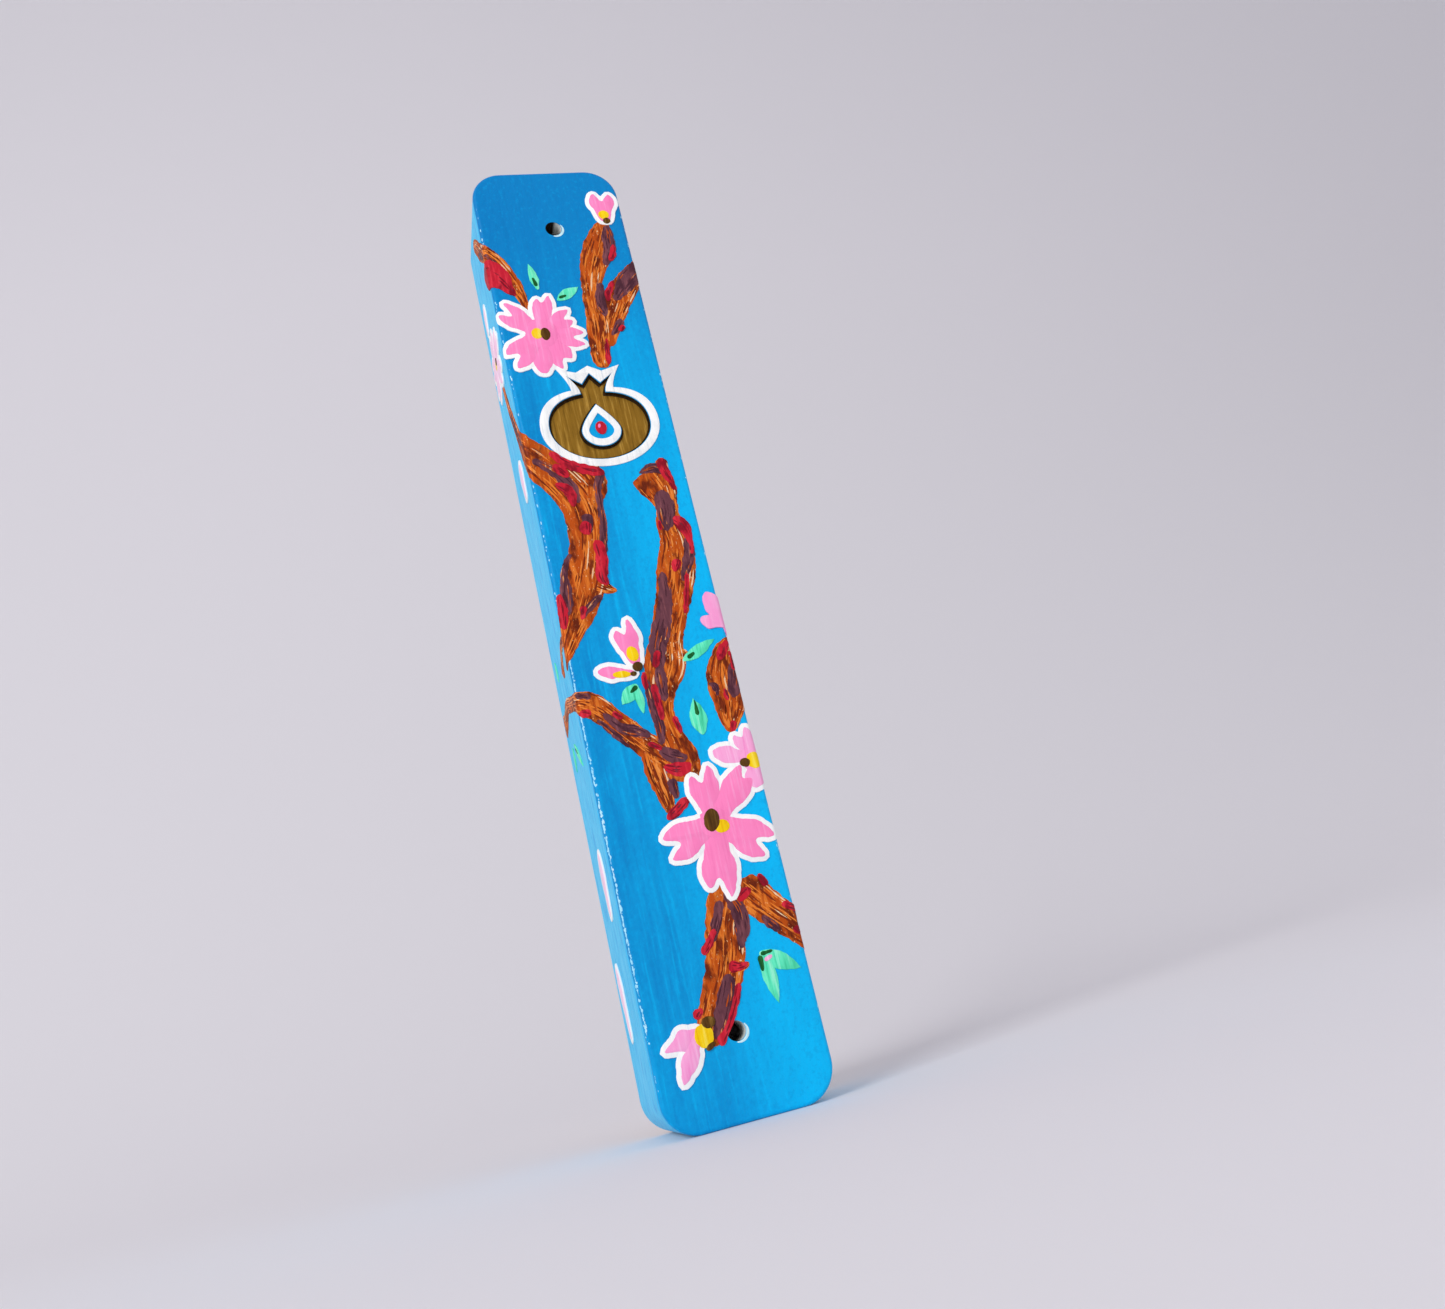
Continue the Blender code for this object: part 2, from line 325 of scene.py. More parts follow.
# Acrylics: each one's colour in the paint box, its deep and its bright hairs, and its roughness.
ACRYLICS = {
    "emblem_outline_white": ("white", (214, 222, 226), (255, 255, 255), 0.45),
    "seed_crimson": ("crimson", (150, 12, 34), (226, 50, 70), 0.35),
    "seed_glint": ("pink", (240, 110, 160), (255, 190, 220), 0.35),
    "emblem_burnt_wood": ("burnt", (24, 14, 6), (84, 54, 22), 0.7),
    "petal_outline_paint": ("white", (232, 238, 244), (255, 255, 255), 0.42),
    "petal_pink_paint": ("pink", (248, 124, 182), (255, 164, 210), 0.40),
    "petal_pale_paint": ("pink_pale", (246, 140, 200), (255, 194, 228), 0.40),
    "petal_faint_paint": ("pink_faint", (244, 186, 220), (255, 230, 244), 0.40),
    "stamen_yellow_paint": ("yellow", (232, 176, 0), (255, 232, 90), 0.35),
    "stamen_brown_paint": ("brown", (52, 30, 6), (140, 104, 40), 0.40),
    "leaf_mint_paint": ("mint", (52, 190, 140), (160, 250, 214), 0.42),
    "leaf_dark_paint": ("leaf_green", (8, 60, 24), (40, 130, 60), 0.45),
    "leaf_glint_paint": ("pink_pale", (236, 170, 200), (255, 230, 240), 0.42),
    "edge_wear_and_highlight_paint": ("edge_wear_and_highlight", (120, 206, 244), (240, 250, 252), 0.5),
}


def acrylic(colours, name):
    """One of the acrylics as a material."""
    colour, deep, bright, roughness = ACRYLICS[name]
    return brushed_paint(name, getattr(colours, colour), linear(*deep), linear(*bright), roughness)


def bark_paint(name, colour, deep, bright, fleck, fleck_edge, metallic):
    """Bark colour with dragged bristles and bright metallic specks."""
    graph = Graph(name)
    hairs = streaks(graph, 2300.0, 260.0, (3.0, 1.0, 2.0))
    clouds = graph.noise((700.0, 700.0, 330.0), detail=4.0, offset=(1.0, 5.0, 2.0))
    specks = graph.noise((3800.0, 3800.0, 2200.0), detail=2.0, roughness=0.7)
    tone = graph.mix(graph.step(hairs, 0.46, 0.70), colour, bright)
    tone = graph.mix(graph.step(clouds, 0.52, 0.36), tone, deep)
    lit = graph.step(specks, fleck_edge, fleck_edge + 0.07)
    spark = graph.times(lit, graph.step(hairs, 0.36, 0.58))
    tone = graph.mix(spark, tone, fleck)
    gloss = graph.minus(0.52, graph.times(spark, 0.22))
    height = graph.weighed(hairs, 0.8, specks, 0.35)
    return graph.finish(tone, gloss, graph.bump(height, BARK_RELIEF), metallic)


def bare_wood_tone(graph, colours, offset=(0.0, 0.0, 0.0)):
    """Sanded pale wood: returns its colour and its relief."""
    bands = graph.noise((520.0, 520.0, 22.0), detail=5.0, distortion=0.4, offset=offset)
    pores = graph.noise((4200.0, 4200.0, 190.0), detail=2.0, roughness=0.7, offset=offset)
    stain = graph.noise((90.0, 90.0, 60.0), detail=3.0, offset=offset)
    tone = graph.mix(graph.step(bands, 0.38, 0.66), colours.wood, colours.wood_deep)
    tone = graph.tint(tone, graph.step(pores, 0.60, 0.74), 0.55, linear(134, 92, 56))
    tone = graph.tint(tone, graph.step(stain, 0.45, 0.75), 0.30, linear(238, 214, 176))
    return tone, graph.weighed(bands, 0.5, pores, -0.6)


def front_tone(graph, colours, hairs, wide):
    """The front's streaked blue, brightened towards the bottom and the right by painted light and darkened at
    the top by painted shade.
    """
    x, z = graph.axis(0), graph.axis(2)
    clouds = graph.noise((150.0, 150.0, 60.0), detail=2.0)
    dimples = graph.noise((1900.0, 1900.0, 1500.0), detail=3.0, roughness=0.7, offset=(5.0, 2.0, 7.0))
    tone = graph.tint(colours.blue, graph.step(wide, 0.58, 0.36), 0.55, colours.blue_deep)
    tone = graph.tint(tone, graph.step(hairs, 0.52, 0.78), 0.6, colours.blue_bright)
    tone = graph.tint(tone, graph.step(hairs, 0.46, 0.26), 0.5, colours.blue_deep)
    # Painted light: the blue brightens towards the bottom and the right, and cloudy patches of brighter paint
    # are mixed in.
    lower = graph.step(z, 0.060, -0.020)
    rightward = graph.step(x, -0.009, 0.009)
    thick = graph.times(graph.ramp(lower, 0.5, 0.3), rightward)
    thick = graph.plus(thick, graph.times(graph.step(clouds, 0.40, 0.66), 0.15))
    tone = graph.mix(thick, tone, colours.blue_bright)
    # Painted shade: the top of the front is darkened.
    tone = graph.tint(tone, graph.step(z, 0.024, 0.056), 0.85, colours.blue_deep)
    tone = graph.tint(tone, graph.step(dimples, 0.50, 0.34), 0.20, colours.blue_deep)
    return graph.tint(tone, graph.step(dimples, 0.54, 0.70), 0.18, colours.blue_bright)


def side_tone(graph, colours):
    """The blue of the sides and the ends, painted lighter than the front as painted light for the light and
    sheen that the sides catch.
    """
    hairs = graph.noise((2400.0, 1700.0, 260.0), detail=4.0, offset=(4.0, 4.0, 4.0))
    tone = graph.mix(graph.step(hairs, 0.40, 0.66), colours.side_blue_painted_light, linear(88, 206, 248))
    return graph.tint(tone, graph.step(hairs, 0.46, 0.28), 0.7, linear(40, 150, 224))


def paint_tone(graph, colours, front):
    """Front and side paint, which meet behind the front's rounded edge in an uneven line, with a painted
    highlight in brighter cyan on the rounded edge.
    """
    overrun = graph.times(graph.noise((900.0, 900.0, 700.0), detail=3.0), 0.0008)
    turn = graph.minus(graph.axis(1), overrun)
    # Painted highlight: the rounded edge turns a brighter cyan than both the front and the sides.
    front_with_edge_highlight = graph.mix(graph.step(turn, FRONT_Y, FRONT_Y + 0.0004), front, linear(10, 196, 250))
    behind = graph.step(turn, FRONT_Y + 0.0008, FRONT_Y + 0.0013)
    return graph.mix(behind, front_with_edge_highlight, side_tone(graph, colours))


def inside_mask(graph, sizes):
    """Everything in the channel, the rebate, the notch and the nail holes."""
    half_width = sizes.channel_width / 2 + sizes.rebate_margin + 0.0004
    half_height = sizes.hole_spacing / 2 + 0.002
    inside = graph.times(graph.within(graph.axis(0), half_width), graph.within(graph.axis(2), half_height))
    return graph.times(inside, graph.math("GREATER_THAN", graph.axis(1), FRONT_Y + 0.00006))


def back_mask(graph):
    """The back, which was never painted, apart from what ran over its rim."""
    ragged = graph.times(graph.noise((420.0, 420.0, 300.0), detail=4.0), 0.0030)
    rims = []
    for index, edge in ((0, CASE_HIGH.x + 0.0006), (2, CASE_HIGH.z + 0.0006)):
        reach = graph.plus(graph.size(graph.axis(index)), ragged)
        rims.append(graph.step(reach, edge, edge + 0.0001))
    behind = graph.step(graph.axis(1), BACK_Y - 0.00045, BACK_Y - 0.00035)
    return graph.times(behind, graph.minus(1.0, graph.either(*rims)))


def scorched_mask(graph, sizes):
    """The walls of the engraving."""
    y = graph.axis(1)
    below_top = graph.math("GREATER_THAN", y, FRONT_Y + 0.00003)
    above_floor = graph.math("LESS_THAN", y, FRONT_Y + sizes.emblem_depth + 0.0001)
    near = graph.within(graph.minus(graph.axis(2), sizes.emblem_z), EMBLEM_REACH_UP)
    middle = graph.within(graph.axis(0), EMBLEM_REACH_ACROSS)
    return graph.times(graph.times(below_top, above_floor), graph.times(near, middle))


def bore_mask(graph, sizes, inside):
    """The nail holes' walls."""
    x = graph.axis(0)
    off_centre = graph.minus(graph.size(graph.axis(2)), sizes.hole_spacing / 2)
    squared = graph.plus(graph.times(off_centre, off_centre), graph.times(x, x))
    from_axis = graph.math("SQRT", squared)
    return graph.times(inside, graph.math("LESS_THAN", from_axis, sizes.hole_radius + 0.00025))


def block_material(colours, sizes):
    """The block: blue brushed front, sides painted a lighter blue as painted light, burnt engraving, bare
    wood behind and inside, and nail holes with painted shade and a painted lit wall.
    """
    graph = Graph("blue_ground_paint")
    hairs = streaks(graph, 2100.0, 120.0)
    wide = graph.noise((620.0, 620.0, 42.0), detail=3.0, offset=(2.0, 0.0, 1.0))
    grains = graph.noise((1500.0, 1500.0, 1100.0), detail=4.0, offset=(6.0, 1.0, 3.0))
    wood, wood_relief = bare_wood_tone(graph, colours)
    inside = inside_mask(graph, sizes)
    bare = graph.either(back_mask(graph), inside)
    colour = graph.mix(bare, paint_tone(graph, colours, front_tone(graph, colours, hairs, wide)), wood)
    colour = graph.mix(scorched_mask(graph, sizes), colour, colours.burnt)
    # Nail holes are painted dark inside as painted shade, and keep a pale primer colour at the mouth only on
    # their right, where it is painted light on the wall that the light falls on.
    shallow = graph.step(graph.axis(1), FRONT_Y + 0.0040, FRONT_Y + 0.0020)
    primed_lit_wall = graph.times(shallow, graph.step(graph.axis(0), 0.0001, 0.0006))
    bore_painted_light_and_shade = graph.mix(primed_lit_wall, linear(34, 24, 20), linear(226, 232, 226))
    colour = graph.mix(bore_mask(graph, sizes, inside), colour, bore_painted_light_and_shade)
    gloss = graph.plus(graph.ramp(wide, 0.25, 0.28), graph.times(bare, 0.30), clamp=True)
    height = graph.plus(graph.weighed(hairs, 0.6, grains, 1.8), graph.times(wood_relief, bare))
    return graph.finish(colour, gloss, graph.bump(height, GROUND_RELIEF))


def plywood_material(colours):
    """The cover: thin three-ply, with its darker middle layer showing at the edges."""
    graph = Graph("cover_plywood")
    tone, relief = bare_wood_tone(graph, colours, (7.0, 3.0, 5.0))
    half_layer = (COVER_HIGH.y - COVER_LOW.y) / 6
    off_middle = graph.size(graph.minus(graph.axis(1), (COVER_LOW.y + COVER_HIGH.y) / 2))
    core = graph.step(off_middle, half_layer * 1.05, half_layer * 0.95)
    end_grain = graph.noise((3500.0, 3500.0, 3500.0), detail=3.0)
    core_tone = graph.mix(end_grain, linear(150, 104, 62), linear(112, 72, 40))
    tone = graph.mix(core, tone, core_tone)
    return graph.finish(tone, 0.62, graph.bump(relief, PLYWOOD_RELIEF))


def parchment_material(colours):
    """Scraped skin: cloudy, with pores and a dry surface."""
    graph = Graph("parchment_skin")
    clouds = graph.noise((260.0, 260.0, 180.0), detail=5.0)
    pores = graph.noise((5200.0, 5200.0, 5200.0), detail=2.0)
    fibres = graph.noise((900.0, 900.0, 300.0), detail=4.0, distortion=1.2)
    tone = graph.mix(graph.step(clouds, 0.40, 0.68), colours.parchment, linear(216, 186, 132))
    tone = graph.tint(tone, graph.step(pores, 0.58, 0.66), 0.35, linear(168, 136, 92))
    height = graph.weighed(pores, 0.4, fibres, 0.7)
    return graph.finish(tone, 0.72, graph.bump(height, PARCHMENT_RELIEF))


def film_material():
    """Clear plastic film with fine wrinkles."""
    graph = Graph("clear_sleeve_film")
    wrinkles = graph.noise((380.0, 380.0, 60.0), detail=4.0, distortion=0.8)
    haze = graph.noise((1400.0, 1400.0, 700.0), detail=3.0)
    tone = graph.mix(haze, linear(236, 241, 244), linear(248, 250, 251))
    gloss = graph.ramp(haze, 0.12, 0.08)
    graph.shader.inputs["Alpha"].default_value = 0.14
    graph.shader.inputs["IOR"].default_value = 1.49
    return graph.finish(tone, gloss, graph.bump(wrinkles, FILM_RELIEF), specular=0.4)


# ---------------------------------------------------------------------------------------------------------
# Outlines. The painting is laid out in millimetres on the unwrapped case: the first number runs across the
# front and on round the sides, the second runs up the case.
# ---------------------------------------------------------------------------------------------------------

def catmull(before, first, second, after, t):
    """A point between first and second on the smooth line through four points."""
    a = second - before
    b = after - first
    return (
        first * (2 * t ** 3 - 3 * t ** 2 + 1)
        + second * (3 * t ** 2 - 2 * t ** 3)
        + a * 0.5 * (t ** 3 - 2 * t ** 2 + t)
        + b * 0.5 * (t ** 3 - t ** 2)
    )


def smooth_line(points, steps):
    """An open smooth line through the points. A point can carry a width as its third number."""
    ends = [points[0] * 2 - points[1], *points, points[-1] * 2 - points[-2]]
    line = []
    for index in range(1, len(ends) - 2):
        for step in range(steps):
            line.append(catmull(*ends[index - 1:index + 3], step / steps))
    line.append(points[-1])
    return line


def smooth_loop(points, steps):
    """A closed smooth line through the points."""
    count = len(points)
    line = []
    for index in range(count):
        four = [points[(index + shift) % count] for shift in (-1, 0, 1, 2)]
        for step in range(steps):
            line.append(catmull(*four, step / steps))
    return line


def even_loop(loop, spacing):
    """The same closed line with its points a fixed distance apart."""
    lengths = [0.0]
    for here, there in zip(loop, loop[1:] + loop[:1]):
        lengths.append(lengths[-1] + (there - here).length)
    count = max(8, round(lengths[-1] / spacing))
    closed = loop + loop[:1]
    even = []
    index = 0
    for step in range(count):
        target = lengths[-1] * step / count
        while lengths[index + 1] < target:
            index += 1
        span = lengths[index + 1] - lengths[index]
        share = (target - lengths[index]) / span if span else 0.0
        even.append(closed[index].lerp(closed[index + 1], share))
    return even


def ragged(loop, amount, grain, seed):
    """Uneven edges, as dry bristles leave them. Amount is how far, grain is cells per millimetre."""
    count = len(loop)
    rough = []
    for index, point in enumerate(loop):
        along = loop[(index + 1) % count] - loop[index - 1]
        out = Vector((along.y, -along.x)).normalized() if along.length else Vector((0, 0))
        place = Vector((point.x * grain, point.y * grain, seed * 7.31))
        shift = noise.noise(place) + 0.5 * noise.noise(place * 2.7)
        rough.append(point + out * shift * amount)
    return rough


def brush_stroke(stops, rough=0.14, seed=0.0, spacing=0.22):
    """The outline of one stroke of a loaded brush. Each stop is a place and the stroke's width there."""
    path = smooth_line([Vector(stop) for stop in stops], 8)
    walked = [0.0]
    for here, there in zip(path, path[1:]):
        walked.append(walked[-1] + (there - here).xy.length)
    left, right = [], []
    for index, spot in enumerate(path):
        along = path[min(index + 1, len(path) - 1)].xy - path[max(index - 1, 0)].xy
        width = max(spot.z, 0.05)
        # The brush lands and lifts on a rounded tip.
        from_end = min(walked[index], walked[-1] - walked[index])
        tip = min(1.0, from_end / min(width * 0.6, BRUSH_TIP))
        fullness = math.sqrt(0.12 + 0.88 * tip * (2.0 - tip))
        out = Vector((-along.y, along.x)).normalized() * width / 2 * fullness
        left.append(spot.xy + out)
        right.append(spot.xy - out)
    return ragged(even_loop(right + left[::-1], spacing), rough, 1.3, seed)


def blob(centre, half_width, half_height, angle=0.0, rough=0.08, seed=0.0):
    """A dab of paint."""
    turn = Matrix.Rotation(math.radians(angle), 2)
    loop = []
    points = 28
    for step in range(points):
        around = math.tau * step / points
        spoke = Vector((half_width * math.cos(around), half_height * math.sin(around)))
        loop.append(Vector(centre) + turn @ spoke)
    return ragged(even_loop(loop, 0.16), rough, 1.6, seed)


def leaf_outline(base, tip, width, seed=0.0):
    """A leaf from its stem end to its point."""
    base, tip = Vector(base), Vector(tip)
    along = tip - base
    out = Vector((-along.y, along.x)).normalized() * width / 2
    side = [(0.0, 0.25), (0.25, 0.85), (0.5, 1.0), (0.78, 0.62), (1.0, 0.05)]
    left = [base + along * t + out * w for t, w in side]
    right = [base + along * t - out * w for t, w in side]
    return ragged(even_loop(smooth_loop(right + left[::-1], 6), 0.2), 0.09, 1.4, seed)


def petal_outline(base, angle, length, width, notch=1.2, skew=0.0, seed=0.0):
    """A petal from the flower's middle outwards, with two lobes, or with a point where the notch is negative.

    Skew makes the right-hand lobe longer.
    """
    half = width / 2
    reach = 1.0 if notch else 0.90
    foot, flank, side = (half * 0.36, 0.0), (half * 0.72, length * 0.38), (half, length * 0.70 * reach)
    right = [foot, flank, side, (half * 0.60, length * (reach + skew))]
    left = [(-half * 0.60, length * (reach - skew))] + [(-x, y) for x, y in (side, flank, foot)]
    middle = [(0.0, length - notch)]
    turn = Matrix.Rotation(math.radians(angle - 90), 2)
    points = [Vector(base) + turn @ Vector(point) for point in right + middle + left]
    return ragged(even_loop(smooth_loop(points, 7), 0.2), 0.12, 1.1, seed)


def grown(loop, margin):
    """The outline a margin outside the loop, without the knots that its notches would make."""
    outer = []
    for index, point in enumerate(loop):
        along = loop[(index + 1) % len(loop)] - loop[index - 1]
        spot = point + Vector((along.y, -along.x)).normalized() * margin
        if min((spot - other).length for other in loop) > margin * 0.95:
            outer.append(spot)
    return outer


def bristles(stops, density, widest, lean, seed):
    """Marks of single bristles: short thin lines along a stroke. Lean moves them to one side of it."""
    dice = random.Random(seed)
    path = smooth_line([Vector(stop) for stop in stops], 12)
    marks = []
    for index in range(round(len(path) * density)):
        span = dice.randint(4, 14)
        first = dice.randint(1, max(1, len(path) - span - 2))
        share = min(0.43, max(-0.43, dice.gauss(lean, 0.24)))
        width = dice.uniform(0.09, widest)
        line = []
        for step in (0.0, 0.33, 0.67, 1.0):
            at = min(len(path) - 2, first + round(span * step))
            along = (path[at + 1] - path[at - 1]).xy
            spot = path[at].xy + Vector((along.y, -along.x)).normalized() * share * path[at].z
            line.append((*spot, width if 0.0 < step < 1.0 else width * 0.3))
        marks.append(brush_stroke(line, 0.06, index, 0.3))
    return marks


# ---------------------------------------------------------------------------------------------------------
# Mesh work
# ---------------------------------------------------------------------------------------------------------

def new_object(name, mesh):
    """Put a mesh in the scene as an object."""
    obj = bpy.data.objects.new(name, mesh)
    bpy.context.scene.collection.objects.link(obj)
    return obj


def evaluated_mesh(obj):
    """The object's mesh with its modifiers, as new data."""
    bpy.context.view_layer.update()
    return bpy.data.meshes.new_from_object(obj.evaluated_get(bpy.context.evaluated_depsgraph_get()))


def rounded_block(size, corner_radius, edge_round=0.0, corner_segments=14, edge_segments=5):
    """A block with its four edges along Y rounded by corner_radius and the others by edge_round."""
    bpy.ops.mesh.primitive_cube_add(size=1.0)
    block = bpy.context.object
    block.scale = size
    bpy.ops.object.transform_apply(location=False, rotation=False, scale=True)
    shape = bmesh.new()
    shape.from_mesh(block.data)
    weight = shape.edges.layers.float.new("bevel_weight_edge")
    for edge in shape.edges:
        low, high = edge.verts
        edge[weight] = 1.0 if abs(low.co.y - high.co.y) > size[1] / 2 else 0.0
    shape.to_mesh(block.data)
    shape.free()
    corners = block.modifiers.new("corners", "BEVEL")
    corners.limit_method = "WEIGHT"
    corners.width = corner_radius
    corners.segments = corner_segments
    if edge_round > 0.0:
        edges = block.modifiers.new("edges", "BEVEL")
        edges.limit_method = "ANGLE"
        edges.angle_limit = math.radians(60.0)
        edges.width = edge_round
        edges.segments = edge_segments
    return block


def cut_away(piece, cutters):
    """Cut every cutter out of the piece, bake the result in its mesh and remove the cutters."""
    for cutter in cutters:
        boolean = piece.modifiers.new(cutter.name, "BOOLEAN")
        boolean.operation = "DIFFERENCE"
        boolean.solver = "EXACT"
        boolean.object = cutter
    mesh = evaluated_mesh(piece)
    piece.modifiers.clear()
    piece.data = mesh
    for cutter in cutters:
        bpy.data.objects.remove(cutter, do_unlink=True)


def shade_with_creases(mesh, angle):
    """Smooth shading, with a crease where faces meet at more than the angle in degrees."""
    mesh.shade_smooth()
    mesh.set_sharp_from_angle(angle=math.radians(angle))


def soften_shading(obj):
    """Smooth shading with crisp creases and flat faces that stay flat."""
    shade_with_creases(obj.data, WOOD_CREASE)
    weighted = obj.modifiers.new("face_weighted_normals", "WEIGHTED_NORMAL")
    weighted.keep_sharp = True
    return obj


def add_spline(curve, points):
    """Add a closed Bezier spline from (point, left handle, right handle) triples."""
    spline = curve.splines.new("BEZIER")
    spline.bezier_points.add(len(points) - 1)
    for bezier, (middle, left, right) in zip(spline.bezier_points, points):
        bezier.handle_left_type = "FREE"
        bezier.handle_right_type = "FREE"
        bezier.co = (*middle, 0.0)
        bezier.handle_left = (*left, 0.0)
        bezier.handle_right = (*right, 0.0)
    spline.use_cyclic_u = True


def add_loop(curve, loop):
    """Add a closed straight-sided spline from an outline in millimetres."""
    spline = curve.splines.new("POLY")
    spline.points.add(len(loop) - 1)
    for spot, point in zip(spline.points, loop):
        spot.co = (point.x * MM, point.y * MM, 0.0, 1.0)
    spline.use_cyclic_u = True


def flat_curve(name, thickness, round_over=0.0):
    """An empty flat curve that fills its outline and gives it a thickness."""
    curve = bpy.data.curves.new(name, "CURVE")
    curve.dimensions = "2D"
    curve.fill_mode = "BOTH"
    curve.resolution_u = CURVE_STEPS
    curve.extrude = thickness / 2 - round_over
    curve.bevel_depth = round_over
    curve.bevel_resolution = 1
    curve.offset = -round_over
    return curve


def curve_mesh(name, curve):
    """The curve's solid as a closed mesh."""
    drawn = new_object(name, curve)
    mesh = evaluated_mesh(drawn)
    bpy.data.objects.remove(drawn, do_unlink=True)
    bpy.data.curves.remove(curve)
    shape = bmesh.new()
    shape.from_mesh(mesh)
    bmesh.ops.remove_doubles(shape, verts=shape.verts, dist=WELD)
    shape.to_mesh(mesh)
    shape.free()
    return mesh


class Skin:
    """The block's painted skin, unwrapped: across its front and on round its long edges to both sides."""

    # How many flat strips a coat of paint has round a long edge.
    BENDS = 5

    def __init__(self, sizes):
        self.edge = sizes.edge_round
        self.flat = CASE_HIGH.x - self.edge
        self.arc = self.edge * math.pi / 2
        size = CASE_HIGH - CASE_LOW
        block = rounded_block(size, sizes.corner_radius, sizes.edge_round)
        mesh = evaluated_mesh(block)
        self.tree = BVHTree.FromPolygons([v.co for v in mesh.vertices], [p.vertices for p in mesh.polygons])
        bpy.data.objects.remove(block, do_unlink=True)
        bpy.data.meshes.remove(mesh)

    def creases(self):
        """Where a flat patch has to be cut so that it can bend round the long edges."""
        steps = [self.flat + self.arc * bend / self.BENDS for bend in range(self.BENDS + 1)]
        return [side * step for step in steps for side in (1, -1)]

    def point(self, across, up, lift):
        """The place in the row frame of a point on the unwrapped skin, lift above it."""
        side = 1.0 if across > 0 else -1.0
        run = abs(across)
        if run <= self.flat:
            spot = Vector((across, FRONT_Y, up))
            out = Vector((0.0, -1.0, 0.0))
        elif run <= self.flat + self.arc:
            turn = (run - self.flat) / self.edge
            out = Vector((side * math.sin(turn), -math.cos(turn), 0.0))
            spot = Vector((side * self.flat, FRONT_Y + self.edge, up)) + out * self.edge
        else:
            spot = Vector((side * CASE_HIGH.x, FRONT_Y + self.edge + run - self.flat - self.arc, up))
            out = Vector((side, 0.0, 0.0))
        nearest = self.tree.find_nearest(spot)[0]
        return nearest + out * lift


class Painter:
    """Lays outlines on the block as thin raised coats of paint."""

    ROOT = 0.03 * MM
    # Strokes of one coat that overlap lie at slightly different heights.
    STAGGER = 0.00045 * MM
    LEVELS = 29

    def __init__(self, sizes):
        self.skin = Skin(sizes)
        self.strokes = 0

    def coat(self, outlines, height, round_over):
        """Every outline as a slab wrapped on the block, in one bmesh."""
        whole = bmesh.new()
        for outline in outlines:
            self.strokes += 1
            top = height + self.STAGGER * (self.strokes % self.LEVELS)
            curve = flat_curve("coat", top + self.ROOT, round_over)
            add_loop(curve, outline)
            mesh = curve_mesh("coat", curve)
            shape = bmesh.new()
            shape.from_mesh(mesh)
            bpy.data.meshes.remove(mesh)
            self.bend(shape, top)
            merged = bpy.data.meshes.new("coat")
            shape.to_mesh(merged)
            shape.free()
            whole.from_mesh(merged)
            bpy.data.meshes.remove(merged)
        return whole

    def bend(self, shape, top):
        """Wrap a flat slab round the block. Its lower face goes just under the skin."""
        reach = [vert.co.x for vert in shape.verts]
        for crease in self.skin.creases():
            if min(reach) < crease < max(reach):
                geometry = shape.verts[:] + shape.edges[:] + shape.faces[:]
                bmesh.ops.bisect_plane(
                    shape, geom=geometry, plane_co=(crease, 0, 0), plane_no=(1, 0, 0), dist=WELD)
        middle = (top - self.ROOT) / 2
        for vert in shape.verts:
            vert.co = self.skin.point(vert.co.x, vert.co.y, vert.co.z + middle)

    def paint(self, name, outlines, height_mm, material, slot, round_mm=0.02):
        """A named piece of paint that rides on the case."""
        whole = self.coat(outlines, height_mm * MM, round_mm * MM)
        bmesh.ops.recalc_face_normals(whole, faces=whole.faces)
        mesh = bpy.data.meshes.new(name)
        whole.to_mesh(mesh)
        whole.free()
        mesh.materials.append(material)
        piece = new_object(name, mesh)
        shade_with_creases(mesh, PAINT_CREASE)
        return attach(piece, "case")


# ---------------------------------------------------------------------------------------------------------
# The painting's layout, in millimetres on the unwrapped case
# ---------------------------------------------------------------------------------------------------------

